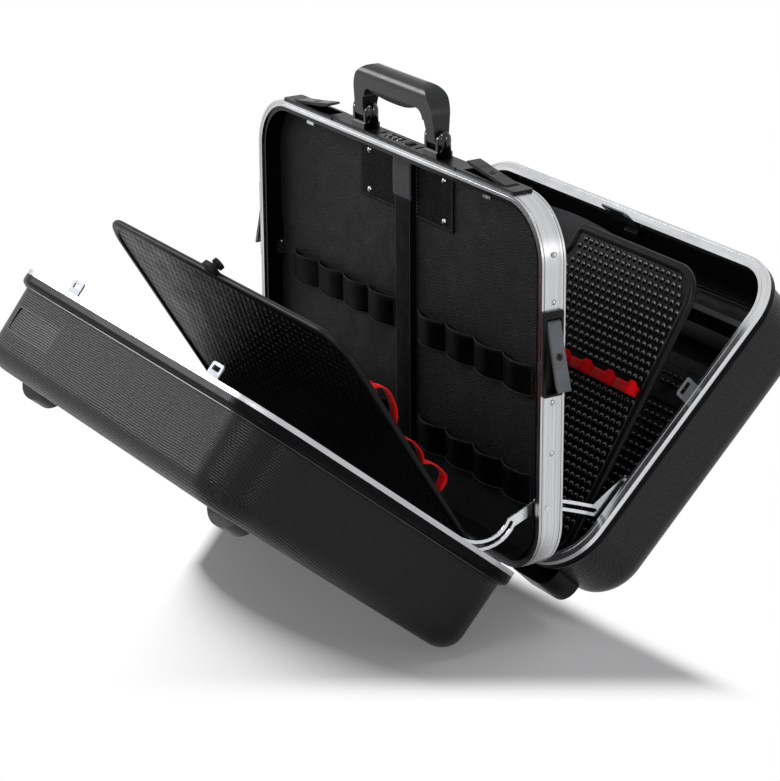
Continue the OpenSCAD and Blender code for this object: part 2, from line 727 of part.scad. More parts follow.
// Bolts beside the catch loops, drawn back
module latch_bolts() {
    u0 = liner_in;
    module bolt(dy) {
        // Guide block on the liner and bolt nose, along +x, inwards is down
        box([catch_w / 2 + 2, dy - 3, -4.5], [catch_w / 2 + 14, dy + 3, 0]);
        translate([catch_w / 2 + 0.6, 0, -2.2]) rotate([0, 90, 0]) cylinder(h = 3, r = 1.3);
    }
    color("silver") stand() {
        both() translate([front_catch_x, -rim_y + catch_l - 5, frame_h - u0]) bolt(0);
        both() translate([frame_w / 2 - u0, rim_y - catch_l + 5, side_catch_z]) rotate([0, 90, 0]) bolt(-1.7);
        both() translate([top_catch_w / 2 - catch_w / 2, rim_y - catch_l + 5, frame_h - u0]) bolt(-1.7);
    }
}
module band_rivets() {
    both() for (z = rivet_z) {
        bar_x(frame_w / 2 - band_t, frame_w / 2 + e, 0, z, 1.6);
        translate([frame_w / 2, 0, z]) rotate([0, 90, 0]) rotate_extrude() intersection() {
            translate([0, -2.2]) circle(3.4);
            square([2.6, 2]);
        }
    }
}
module rivets() {
    color("silver") stand() {
        panel_rivets();
        band_rivets();
    }
}
module frame_stay_pins() {
    color("silver") stand() both() {
        p = frame_pin;
        bar_x(rear_stay_x - 0.2 - stay_head, frame_w / 2 + 0.8, p.x, p.y, stay_pin_r);
        bar_x(frame_w / 2, frame_w / 2 + 0.8, p.x, p.y, stay_pin_r + 1);
        bar_x(rear_stay_x - 0.2 - stay_head, rear_stay_x - 0.2, p.x, p.y, stay_pin_r + 1.9);
        bar_x(stay_x + stay_t + 0.15, frame_w / 2 - liner_in, p.x, p.y, stay_pin_r + 1);
    }
}

// Hinges: leaves under the frame and under the rims, knuckles in turn along one pin
seg = hinge_l / 5;
module frame_leaf() {
    // For the front side, hinge middle at the origin
    difference() {
        union() {
            box([-hinge_l / 2, -rim_y + knuckle_r + 0.3, -leaf_t], [hinge_l / 2, -1, 0]);
            for (i = [-2, 0, 2]) {
                x0 = i * seg - seg / 2 + 0.15;
                x1 = x0 + seg - 0.3;
                bar_x(x0, x1, -rim_y, -hinge_drop, knuckle_r);
                box([x0, -rim_y + 0.9, -leaf_t - 0.4], [x1, -rim_y + knuckle_r + 0.4, -0.4]);
                box([x0, -rim_y + 1.6, -leaf_t], [x1, -rim_y + knuckle_r + 0.4, 0]);
            }
        }
        bar_x(-hinge_l, hinge_l, -rim_y, -hinge_drop, hinge_pin_r + turn_gap);
    }
}
module frame_leaves() {
    color("#b9bcc0") stand() for (i = [-1:1], s = [0, 1]) translate([i * hinge_pitch, 0, 0]) mirror([0, s, 0])
        frame_leaf();
}
module hinge_pins() {
    color("silver") stand() for (i = [-1:1], s = [-1, 1]) {
        x0 = i * hinge_pitch - hinge_l / 2;
        bar_x(x0 - 0.8, x0 + hinge_l + 0.8, s * rim_y, -hinge_drop, hinge_pin_r);
        for (x = [x0 - 0.8, x0 + hinge_l + 0.05]) bar_x(x, x + 0.75, s * rim_y, -hinge_drop, knuckle_r - 0.5);
    }
}
module shell_leaf() {
    // In closed coordinates of the front side, hinge middle at the origin
    difference() {
        union() {
            box([-hinge_l / 2, -rim_y - 9, -leaf_t], [hinge_l / 2, -rim_y - knuckle_r - 0.3, 0]);
            for (i = [-1, 1]) {
                x0 = i * seg - seg / 2 + 0.15;
                x1 = x0 + seg - 0.3;
                bar_x(x0, x1, -rim_y, -hinge_drop, knuckle_r);
                box([x0, -rim_y - knuckle_r - 0.4, -leaf_t - 0.4], [x1, -rim_y - 0.9, -0.4]);
                box([x0, -rim_y - knuckle_r - 0.4, -leaf_t], [x1, -rim_y - 1.6, 0]);
            }
        }
        bar_x(-hinge_l, hinge_l, -rim_y, -hinge_drop, hinge_pin_r + turn_gap);
    }
}
module front_leaves() {
    color("#b9bcc0") in_front() for (i = [-1:1]) translate([i * hinge_pitch, 0, 0]) shell_leaf();
}
module rear_leaves() {
    color("#b9bcc0") in_rear() for (i = [-1:1]) translate([i * hinge_pitch, 0, 0]) mirror([0, 1, 0]) shell_leaf();
}

// Shells
module wall_fill(depth, inset, v0) {
    difference() {
        polygon([
            [1 - corner_r, v0], [-wall_in - inset, v0], [-wall_in - inset, web_d],
            [-wall_face - inset, depth - face_r], [-wall_face - inset, depth - inset], [1 - corner_r, depth - inset]
        ]);
        translate([-wall_face - face_r, depth - face_r]) difference() {
            square([face_r + 5, face_r + 5]);
            circle(face_r - inset, $fn = 64);
        }
    }
}
module shell_body(depth) {
    ring() difference() {
        wall_fill(depth, 0, rim_t + 0.1);
        wall_fill(depth, shell_t, 0);
    }
    c = corner_r - 1.5;
    box([-frame_w / 2 + c, c, depth - shell_t], [frame_w / 2 - c, frame_h - c, depth]);
}
module shell_outer(depth) {
    ring() wall_fill(depth, 0, rim_t + 0.1);
    c = corner_r - 1.5;
    box([-frame_w / 2 + c, c, rim_t + 0.1], [frame_w / 2 - c, frame_h - c, depth]);
}
module rim_profile() {
    web_u = wall_in - 0.05;
    difference() {
        union() {
            translate([-rim_in, 0]) square([rim_in, rim_t]);
            translate([-rim_t, 0]) square([rim_t, lip_d]);
            translate([-web_u, 0]) square([web_t, web_d]);
            translate([-web_u, web_d - 1]) square([2.4, 1]);
            translate([-rim_in, 0]) square([rim_in - wall_in - shell_t - 0.05, leg_d]);
        }
        translate([-rim_in + 3.4, -0.4]) square([rim_in - 5.6, 0.8]);
    }
}
module bumper_profile() {
    u0 = wall_in - 0.05 - web_t;
    v1 = web_d - 1;
    difference() {
        translate([-u0, lip_d]) square([u0, v1 - lip_d]);
        translate([-bumper_r, v1 - bumper_r]) difference() {
            square([bumper_r + 1, bumper_r + 1]);
            circle(bumper_r);
        }
    }
}
ear_x = 150;
ear_r = 2.2;
board_pin_r = 1.1;
module board_ears(v) {
    // Ears that carry the board along its lower edge, moulded on the shell floor
    for (s = [-1, 1]) difference() {
        union() {
            box([s * ear_x - 3, wall_in + shell_t - 0.6, v - ear_r], [s * ear_x + 3, bead_z, v + ear_r]);
            bar_x(s * ear_x - 3, s * ear_x + 3, bead_z, v, ear_r);
        }
        bar_x(s * ear_x - 5, s * ear_x + 5, bead_z, v, board_pin_r + turn_gap);
    }
}
module front_shell() {
    color("#2e2f31") front_local() difference() {
        union() {
            shell_body(front_depth);
            board_ears(front_board_v);
        }
        // Badge place in the top wall
        translate([-badge_x - badge_l / 2, 0, badge_v - badge_w / 2]) rotate([90, 0, 0]) mirror([0, 0, 1])
            translate([0, 0, frame_h - wall_in - wall_draft * 0.55 - badge_d]) linear_extrude(10)
                round_rect(badge_l, badge_w, 3);
    }
}
module front_rim() color("#d9dadc") front_local() ring() rim_profile();
module front_bumper() color("#1a1a1b") front_local() ring() bumper_profile();
module rear_shell() {
    color("#2e2f31") rear_local() {
        shell_body(rear_depth);
        board_ears(rear_board_v);
    }
}
module rear_rim() color("#d9dadc") rear_local() ring() rim_profile();
module rear_bumper() color("#1a1a1b") rear_local() ring() bumper_profile();

// Feet on the underside and on the large faces
module bottom_feet(fx, depth) {
    end_r = 16;
    both() difference() {
        intersection() {
            // Seen from the front: flat below with round ends
            translate([0, 0, foot_v0 - 1]) linear_extrude(foot_w + 2) difference() {
                translate([fx - foot_l / 2, -foot_h]) square([foot_l, 60]);
                for (s = [-1, 1]) translate([fx + s * (foot_l / 2 - end_r), -foot_h + end_r]) difference() {
                    translate([s > 0 ? 0 : -end_r - 1, -end_r - 1]) square([end_r + 1, end_r + 1]);
                    circle(end_r);
                }
            }
            // Seen from the end
            translate([fx - foot_l, 0, 0]) rotate([0, 90, 0]) rotate([0, 0, 90]) linear_extrude(2 * foot_l)
                difference() {
                    translate([-foot_h, foot_v0]) square([foot_h + 11, foot_w]);
                    translate([-foot_h + foot_r, foot_v0 + foot_w - foot_r]) difference() {
                        translate([-foot_r - 1, 0]) square([foot_r + 1, foot_r + 1]);
                        circle(foot_r);
                    }
                }
        }
        shell_outer(depth);
    }
}
module face_feet(depth) {
    r = (pow(hump_l / 2, 2) + pow(hump_h, 2)) / (2 * hump_h);
    both() difference() {
        intersection() {
            translate([hump_x, hump_z - hump_w / 2, depth + hump_h - r]) rotate([-90, 0, 0])
                cylinder(h = hump_w, r = r, $fn = 96);
            box([hump_x - hump_l / 2 - 4, hump_z - hump_w / 2, depth - 2],
                [hump_x + hump_l / 2 + 4, hump_z + hump_w / 2, depth + hump_h + 1]);
        }
        shell_outer(depth);
    }
}
module front_feet() {
    color("#161617") front_local() {
        bottom_feet(front_foot_x, front_depth);
        face_feet(front_depth);
    }
}
module rear_feet() {
    color("#161617") rear_local() {
        bottom_feet(rear_foot_x, rear_depth);
        face_feet(rear_depth);
    }
}

// Catches that reach from the rims into the frame
top_catch_w = 40;
module catch_plate(w, holes, eye) {
    // Along x the width, y away from the rim, on the inner line of the rim
    difference() {
        union() {
            box([-w / 2, -leg_d, 0], [w / 2, catch_l - 3, catch_t]);
            translate([-w / 2, catch_l - 6, 0]) linear_extrude(catch_t) round_rect(w, 6, 2.9);
        }
        for (x = holes) box([x - eye / 2, catch_l - 7.4, -1], [x + eye / 2, catch_l - 3, catch_t + 1]);
        for (x = holes) translate([x, -leg_d / 2, -1]) cylinder(h = 5, r = 1.2, $fn = 24);
    }
}
module front_catches() {
    color("silver") in_front() both() translate([front_catch_x, -rim_y, frame_h - catch_u - catch_t])
        catch_plate(catch_w, [0], catch_w - 7);
}
module rear_catches() {
    color("silver") in_rear() {
        both() translate([frame_w / 2 - catch_u - catch_t, rim_y, side_catch_z]) rotate([0, 90, 0])
            mirror([0, 1, 0]) catch_plate(catch_w, [0], catch_w - 7);
        translate([0, rim_y, frame_h - catch_u - catch_t]) mirror([0, 1, 0]) catch_plate(top_catch_w, [-14, 14], 6);
        // Clip inside the top wall
        clip_u = wall_in + wall_draft * (31 - web_d) / (rear_depth - face_r - web_d) + shell_t;
        box([-10, rim_y + 20, frame_h - clip_u - 6], [10, rim_y + 31, frame_h - clip_u - 0.1]);
    }
}

// Stays
front_slot_n = 10;
function slot_front(t) = turn(turn([-rim_y - front_stay_pin.x, front_stay_pin.y], front_hinge,
    front_open * (1 - t)) - frame_pin, [0, 0], -front_stay_dir[0] - t * (front_stay_dir[1] - front_stay_dir[0]));
function slot_rear(t) = turn(frame_pin - turn([rim_y + rear_stay_piv.x, rear_stay_piv.y], rear_hinge,
    -rear_open * (1 - t)), [0, 0], -rear_stay_dir[0] - t * (rear_stay_dir[1] - rear_stay_dir[0]));
front_slot = [for (i = [front_slot_n:-1:0]) slot_front(i / front_slot_n)];
rear_slot = [for (i = [front_slot_n:-1:0]) slot_rear(i / front_slot_n)];
module stay_flat(slot) {
    difference() {
        strip(concat([[0, 0]], slot), stay_pin_r + slot_gap + stay_side);
        strip(slot, stay_pin_r + slot_gap);
        circle(stay_pin_r + turn_gap);
    }
}
module front_stay() {
    translate([stay_x, frame_pin.x, frame_pin.y]) rotate([90, 0, 90]) rotate([0, 0, front_stay_dir[0]])
        linear_extrude(stay_t) stay_flat(front_slot);
}
module rear_stay() {
    p = turn([rim_y + rear_stay_piv.x, rear_stay_piv.y], rear_hinge, -rear_open);
    translate([rear_stay_x, p.x, p.y]) rotate([90, 0, 90]) rotate([0, 0, rear_stay_dir[0]])
        linear_extrude(stay_t) stay_flat(rear_slot);
}
module front_stay_right() color("silver") stand() front_stay();
module front_stay_left() color("silver") stand() mirror([1, 0, 0]) front_stay();
module rear_stay_right() color("silver") stand() rear_stay();
module rear_stay_left() color("silver") stand() mirror([1, 0, 0]) rear_stay();
module shell_pin(x, p) {
    both() {
        bar_x(x - 0.2 - stay_head, frame_w / 2 - rim_in, p.x, p.y, stay_pin_r);
        bar_x(x - 0.2 - stay_head, x - 0.2, p.x, p.y, stay_pin_r + 1.9);
        bar_x(x + stay_t + 0.15, frame_w / 2 - rim_in, p.x, p.y, stay_pin_r + 1);
    }
}
module front_shell_pins() color("silver") in_front() shell_pin(stay_x, [-rim_y - front_stay_pin.x, front_stay_pin.y]);
module rear_shell_pins() color("silver") in_rear() shell_pin(rear_stay_x, [rim_y + rear_stay_piv.x, rear_stay_piv.y]);

// Tool boards. Board coordinates: x along the width, y up from the hinge line, z away from the frame.
module on_board(v, tip) {
    translate([0, bead_z, v]) rotate([-tip, 0, 0]) children();
}
low_r = 26;
notch_r = 10;
// Corner of a plate that is cut away outside a circle, to one side (s) and up or down (t)
module corner_cut(r, s, t) {
    difference() {
        translate([s > 0 ? 0 : -r - 12, t > 0 ? 0 : -r - 12]) square([r + 12, r + 12]);
        circle(r, $fn = 96);
    }
}
module board_outline(h, nw, nd, inset, y0) {
    w = board_x - inset;
    r = board_r - inset;
    n = nw / 2 + inset;
    difference() {
        translate([-w, y0]) square([2 * w, h - inset - y0]);
        for (s = [-1, 1]) {
            translate([s * (w - r), h - inset - r]) corner_cut(r, s, 1);
            translate([s * (board_x - low_r), low_r]) corner_cut(low_r - inset, s, -1);
            if (nw > 0) translate([s * (nw / 2 + notch_r), h - notch_r]) corner_cut(notch_r - inset, -s, 1);
        }
        if (nw > 0) {
            translate([-n, h - nd + notch_r]) square([2 * n, nd + 50]);
            translate([-nw / 2 + notch_r, h - nd - inset]) square([nw - 2 * notch_r, nd]);
            for (s = [-1, 1]) translate([s * (nw / 2 - notch_r), h - nd + notch_r]) circle(notch_r + inset, $fn = 96);
        }
    }
}
module board_plate(h, nw, nd) {
    difference() {
        union() {
            translate([0, 0, -board_t / 2]) linear_extrude(board_t) board_outline(h, nw, nd, 3, 0);
            bar_x(-board_x + low_r, board_x - low_r, 0, 0, bead_r);
        }
        for (s = [-1, 1]) box([s * ear_x - 3.4, -bead_r - 1, -5], [s * ear_x + 3.4, ear_r + 1, 5]);
    }
    for (s = [-1, 1]) bar_x(s * ear_x - 4, s * ear_x + 4, 0, 0, board_pin_r);
}
module board_edging(h, nw, nd) {
    difference() {
        translate([0, 0, -trim_t / 2]) linear_extrude(trim_t) difference() {
            board_outline(h, nw, nd, 0, bead_r + 0.2);
            board_outline(h, nw, nd, trim_w, 0);
        }
        translate([0, 0, -board_t / 2]) linear_extrude(board_t) board_outline(h, nw, nd, 3, 0);
    }
}
module elastic_row(y1) {
    r = (pow(loop_pitch / 2, 2) + pow(loop_h, 2)) / (2 * loop_h);
    n = floor((board_x - trim_w - 1) / loop_pitch);
    translate([0, y1, -board_t / 2]) rotate([90, 0, 0]) linear_extrude(elastic_w) for (i = [-n:n - 1])
        translate([loop_pitch * (i + 0.5), 0]) difference() {
            intersection() {
                translate([0, r - loop_h]) circle(r, $fn = 64);
                translate([-loop_pitch / 2, -loop_h]) square([loop_pitch, loop_h]);
            }
            intersection() {
                translate([0, r - loop_h]) circle(r - elastic_t, $fn = 64);
                translate([-loop_pitch / 2, -loop_h]) square([loop_pitch, loop_h + 1]);
            }
        }
}
front_rows = [150, 195, 240];
module front_board() {
    color("#3a3b3d") front_local() on_board(front_board_v, front_board_tip) board_plate(front_board_h, 0, 0);
}
module front_board_trim() {
    color("#111112") front_local() on_board(front_board_v, front_board_tip) {
        board_edging(front_board_h, 0, 0);
        // Tab with the pull knob above the top edge
        translate([0, 0, -trim_t / 2]) linear_extrude(trim_t) translate([-9, front_board_h - 2.9])
            round_rect(18, 14, 4);
        translate([0, front_board_h + 3, -trim_t / 2 - 7]) cylinder(h = 7.1, r = 3);
        translate([0, front_board_h + 3, -trim_t / 2 - 7]) rotate_extrude() intersection() {
            translate([0, 5]) circle(8.5);
            square([6, 3.6]);
        }
    }
}
module front_elastic() {
    color("#c4121a") front_local() on_board(front_board_v, front_board_tip)
        for (y = front_rows) elastic_row(y);
}
module rear_board() {
    color("#3a3b3d") rear_local() on_board(rear_board_v, rear_board_tip)
        board_plate(rear_board_h, notch_w, notch_d);
}
module rear_board_trim() {
    color("#111112") rear_local() on_board(rear_board_v, rear_board_tip)
        board_edging(rear_board_h, notch_w, notch_d);
}
rear_row = 172;
module rear_elastic() {
    color("#c4121a") rear_local() on_board(rear_board_v, rear_board_tip) elastic_row(rear_row);
}
flap_t = 1.5;
module rear_flap() {
    // Leaf of the paper pocket behind the rear board, with an arched top
    arch = 506;
    w = board_x - trim_w - 6;
    color("#4a4c50") rear_local() on_board(rear_board_v, rear_board_tip) {
        translate([0, 0, trim_t / 2]) linear_extrude(flap_t) intersection() {
            translate([-w, 20]) square([2 * w, rear_board_h + 5 - 20]);
            translate([8, rear_board_h + 5 - arch]) circle(arch, $fn = 360);
        }
        box([-w, 20, board_t / 2], [w, 28, trim_t / 2 + e]);
    }
}
divider_z = frame_h - 59;
divider_t = 2.4;
module rear_divider() {
    v0 = rear_board_v + trim_t / 2 + flap_t + 2;
    v1 = rear_depth - face_r + 2;
    w = frame_w / 2 - wall_face - shell_t - 0.2;
    color("#5b5d60") rear_local() {
        box([-w, divider_z, v0], [w, divider_z + divider_t, v1]);
        box([-w, divider_z - 1.5, v0 - 1], [w, divider_z + divider_t + 1.5, v0 + 0.5]);
    }
}
lining_t = 2.5;
module rear_lining() {
    w = frame_w / 2 - 40;
    v1 = rear_depth - shell_t;
    y0 = wall_face + face_r + 3;
    y1 = frame_h - 88;
    color("#2d2e30") rear_local() {
        difference() {
            translate([-w, y0, v1 - lining_t]) linear_extrude(lining_t) round_rect(2 * w, y1 - y0, 12);
            translate([-w + 12, y0 + 12, v1 - lining_t - 1]) linear_extrude(1.8)
                round_rect(2 * w - 24, y1 - y0 - 24, 6);
        }
        // Strap across the lining
        box([-w + 2, y1 - 48, v1 - lining_t - 1.2], [w - 2, y1 - 36, v1 - lining_t + 0.9]);
    }
}

frame_band();
frame_liner();
centre_panel();
panel_patches();
rivets();
centre_strap();
upper_pockets();
lower_pockets();
top_strip();
handle_mounts();
pivot_pins();
combination_housing();
top_lock_trays();
side_lock_trays();
latch_bolts();
frame_stay_pins();
frame_leaves();
hinge_pins();
handle();
handle_grip();
dial_1();
dial_2();
dial_3();
lock_slide();
top_lever_left();
top_lever_right();
side_lever_left();
side_lever_right();
top_plug_left();
top_plug_right();
side_plug_left();
side_plug_right();
front_shell();
front_rim();
front_bumper();
front_leaves();
front_catches();
front_feet();
front_shell_pins();
front_board();
front_board_trim();
front_elastic();
front_stay_left();
front_stay_right();
rear_shell();
rear_rim();
rear_bumper();
rear_leaves();
rear_catches();
rear_feet();
rear_shell_pins();
rear_divider();
rear_lining();
rear_board();
rear_board_trim();
rear_elastic();
rear_flap();
rear_stay_left();
rear_stay_right();
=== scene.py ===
"""Open tool case on a pale floor.

It gives every node of the part its finish, and adds what the solids leave out: sewn webbing and elastic,
the strap, dimpled boards with their edging, the handle's posts, stitches and the numbers on the dials.
"""

import math
import random

import bmesh
import bpy
from mathutils import Euler, Matrix, Vector

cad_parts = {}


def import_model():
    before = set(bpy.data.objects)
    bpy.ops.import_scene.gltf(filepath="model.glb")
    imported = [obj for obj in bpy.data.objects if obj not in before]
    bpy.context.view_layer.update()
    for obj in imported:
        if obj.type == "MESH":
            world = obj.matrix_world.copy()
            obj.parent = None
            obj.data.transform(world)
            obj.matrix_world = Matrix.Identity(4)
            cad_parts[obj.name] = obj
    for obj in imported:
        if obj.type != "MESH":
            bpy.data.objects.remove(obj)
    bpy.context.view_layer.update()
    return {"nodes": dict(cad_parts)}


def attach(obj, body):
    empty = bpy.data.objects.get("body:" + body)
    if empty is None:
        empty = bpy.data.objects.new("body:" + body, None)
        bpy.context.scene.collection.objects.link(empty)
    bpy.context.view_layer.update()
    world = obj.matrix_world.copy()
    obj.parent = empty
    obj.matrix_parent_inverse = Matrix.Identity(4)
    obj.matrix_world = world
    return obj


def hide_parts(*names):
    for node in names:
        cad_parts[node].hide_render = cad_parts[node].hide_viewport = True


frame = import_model()
NODES = frame["nodes"]
rng = random.Random(7)

MM = 0.001

# Frame, hinge lines and shells in mm and degrees, with the part's own values
RIM, DROP, BEAD = 12.4, 2.75, 12.0
LEAN, LIFT, SHIFT = 3.18605, 52.3585, 1.57486
FRONT_OPEN, REAR_OPEN = 50.6, 44.9
FRONT_DEPTH, REAR_DEPTH = 91.0, 84.0
RIM_LIP = 8.5
PANEL_FACE = 6.0

# Boards: where they hang in their shell, how far they tip, their outline, heights and the rear one's notch
FRONT_BOARD_IN, FRONT_BOARD_TIP = 19.2, 19.3
REAR_BOARD_IN, REAR_BOARD_TIP = 12.4, 13.2
BOARD_HALF, BOARD_CORNER, BOARD_FOOT = 214, 35, 26
FRONT_BOARD_H, REAR_BOARD_H = 300, 283
NOTCH_WIDE, NOTCH_DEEP = 50, 30
BOARD_FACE = -1.5

# Rows of red elastic on the boards, by the height of their upper edge
FRONT_ROWS, REAR_ROWS = (150, 195, 240), (172,)


def move(x=0.0, y=0.0, z=0.0):
    return Matrix.Translation((x * MM, y * MM, z * MM))


def turn(degrees, axis="X"):
    return Matrix.Rotation(math.radians(degrees), 4, axis)


STAND = move(0, SHIFT, LIFT) @ turn(-LEAN)
FRONT = STAND @ move(0, -RIM, -DROP) @ turn(FRONT_OPEN) @ move(0, 0, DROP) @ turn(90)
REAR = (
    STAND @ move(0, RIM, -DROP) @ turn(-REAR_OPEN) @ move(0, -RIM, DROP)
    @ Matrix.Scale(-1, 4, (0, 1, 0)) @ move(0, -RIM, 0) @ turn(90)
)
FRONT_BOARD = FRONT @ move(0, BEAD, FRONT_BOARD_IN) @ turn(-FRONT_BOARD_TIP)
REAR_BOARD = REAR @ move(0, BEAD, REAR_BOARD_IN) @ turn(-REAR_BOARD_TIP)


# Node trees
class Tree:
    """The node tree of a material or of the world, with short calls for the nodes used here."""

    def __init__(self, tree):
        self.tree = tree

    def node(self, kind, **values):
        n = self.tree.nodes.new(kind)
        for key, value in values.items():
            setattr(n, key, value)
        return n

    def link(self, a, b):
        self.tree.links.new(a, b)

    def feed(self, socket, value):
        if isinstance(value, bpy.types.NodeSocket):
            self.link(value, socket)
        else:
            socket.default_value = value

    def math(self, operation, a, b=0.0, c=0.0, clamp=False):
        n = self.node("ShaderNodeMath", operation=operation, use_clamp=clamp)
        for socket, value in zip(n.inputs, (a, b, c)):
            self.feed(socket, value)
        return n.outputs[0]

    def glow(self, kind, color, strength):
        """Light of one colour, as an emission or background node."""
        n = self.node(kind)
        n.inputs["Color"].default_value = (*color, 1)
        n.inputs["Strength"].default_value = strength
        return n.outputs[0]

    def seen(self):
        """1 for rays that look at the surface, straight or by a mirror or glass, and 0 for its light."""
        rays = self.node("ShaderNodeLightPath").outputs
        indirect = self.math("MAXIMUM", rays["Is Glossy Ray"], rays["Is Transmission Ray"])
        return self.math("MAXIMUM", rays["Is Camera Ray"], indirect)

    def blend(self, fac, a, b):
        """Shader a where fac is 0, and b where it is 1."""
        n = self.node("ShaderNodeMixShader")
        for socket, value in zip(n.inputs, (fac, a, b)):
            self.link(value, socket)
        return n.outputs[0]


class Nodes(Tree):
    """A material with one principled shader, and calls for its textures. Places are in metres."""

    def __init__(self, name, color, roughness=0.5, metallic=0.0, specular=0.5):
        self.material = bpy.data.materials.new(name)
        self.material.use_nodes = True
        super().__init__(self.material.node_tree)
        self.bsdf = self.tree.nodes["Principled BSDF"]
        self.set("Base Color", (*color, 1))
        self.set("Roughness", roughness)
        self.set("Metallic", metallic)
        self.set("Specular IOR Level", specular)
        self.material.diffuse_color = (*color, 1)
        self.place = self.node("ShaderNodeTexCoord").outputs["Object"]

    def set(self, name, value):
        self.feed(self.bsdf.inputs[name], value)

    def mapped(self, vector, **values):
        n = self.node("ShaderNodeMapping", vector_type="POINT")
        for key, value in values.items():
            n.inputs[key].default_value = value
        self.link(vector, n.inputs["Vector"])
        return n.outputs[0]

    def local(self, matrix):
        """Coordinates of a shell or board, as a turned and moved copy of the object's own."""
        if matrix.determinant() < 0:
            matrix = matrix @ Matrix.Diagonal((1, -1, 1, 1))
        place, rotation, _ = matrix.inverted().decompose()
        return self.mapped(self.place, Location=place, Rotation=rotation.to_euler())

    def stretch(self, scale, vector):
        return self.mapped(vector, Scale=scale)

    def split(self, vector):
        n = self.node("ShaderNodeSeparateXYZ")
        self.link(vector, n.inputs[0])
        return n.outputs

    def noise(self, scale, detail=3.0, roughness=0.55, vector=None, out="Fac"):
        n = self.node("ShaderNodeTexNoise")
        n.inputs["Scale"].default_value = scale
        n.inputs["Detail"].default_value = detail
        n.inputs["Roughness"].default_value = roughness
        self.link(vector or self.place, n.inputs["Vector"])
        return n.outputs[out]

    def cell_edges(self, scale, vector):
        """The distance to the nearest border of a net of cells."""
        n = self.node("ShaderNodeTexVoronoi", feature="DISTANCE_TO_EDGE")
        n.inputs["Scale"].default_value = scale
        self.link(vector, n.inputs["Vector"])
        return n.outputs["Distance"]

    def wave(self, value, pitch):
        """A wave from 0 to 1 that repeats every pitch metres."""
        s = self.math("SINE", self.math("MULTIPLY", value, 2 * math.pi / pitch))
        return self.math("MULTIPLY_ADD", s, 0.5, 0.5)

    def span(self, value, low, high, to_low=0.0, to_high=1.0, smooth=False):
        n = self.node("ShaderNodeMapRange", interpolation_type="SMOOTHSTEP" if smooth else "LINEAR")
        self.feed(n.inputs["Value"], value)
        n.inputs["From Min"].default_value, n.inputs["From Max"].default_value = low, high
        n.inputs["To Min"].default_value, n.inputs["To Max"].default_value = to_low, to_high
        return n.outputs[0]

    def sum(self, a, share_a, b, share_b):
        return self.math("ADD", self.math("MULTIPLY", a, share_a), self.math("MULTIPLY", b, share_b))

    def mix(self, fac, a, b):
        n = self.node("ShaderNodeMix", data_type="RGBA")
        self.feed(n.inputs["Factor"], fac)
        for socket, value in ((n.inputs[6], a), (n.inputs[7], b)):
            self.feed(socket, value if isinstance(value, bpy.types.NodeSocket) else (*value, 1))
        return n.outputs[2]

    def color(self, fac, a, b):
        self.set("Base Color", self.mix(fac, a, b))

    def roughness(self, fac, low, high, a=0.3, b=0.7):
        self.set("Roughness", self.span(fac, a, b, low, high))

    def bump(self, height, distance, strength):
        n = self.node("ShaderNodeBump")
        n.inputs["Distance"].default_value = distance
        n.inputs["Strength"].default_value = strength
        self.link(height, n.inputs["Height"])
        self.set("Normal", n.outputs[0])


def rgb(code):
    """Linear colour of an sRGB hex code."""
    parts = [int(code[i : i + 2], 16) / 255 for i in (1, 3, 5)]
    return tuple(c / 12.92 if c <= 0.04045 else ((c + 0.055) / 1.055) ** 2.4 for c in parts)


def scaled(color, share):
    return tuple(c * share for c in color)


# Shell sheet: pitch of the lines along the case and of the slanting ones, in mm
LINE_PITCH, CROSS_PITCH = 2.1, 2.4
# The name place in the front shell's top wall: its middle and half its size along x and z, in mm
BADGE_X, BADGE_Z, BADGE_HALF_X, BADGE_HALF_Z = -151, 45.3, 40, 10.75
TOP_WALL_Y = 200


def badge_masks(m, x, y, z):
    """The name place, which holds no name: its floor, the shaded step round it and the lit edge outside."""
    side = m.math("SUBTRACT", m.math("ABSOLUTE", m.math("SUBTRACT", x, BADGE_X * MM)), BADGE_HALF_X * MM)
    deep = m.math("SUBTRACT", m.math("ABSOLUTE", m.math("SUBTRACT", z, BADGE_Z * MM)), BADGE_HALF_Z * MM)
    edge = m.math("MAXIMUM", side, deep)
    top_wall = m.math("GREATER_THAN", y, TOP_WALL_Y * MM)

    def line(outside, full, faded):
        off = m.math("ABSOLUTE", m.math("SUBTRACT", edge, outside * MM))
        return m.math("MULTIPLY", m.span(off, full * MM, faded * MM, 1, 0), top_wall)

    inside = m.math("MULTIPLY", m.math("LESS_THAN", edge, 0.0), top_wall)
    return inside, line(-0.6, 0.5, 1.2), line(0.9, 0.2, 0.8)


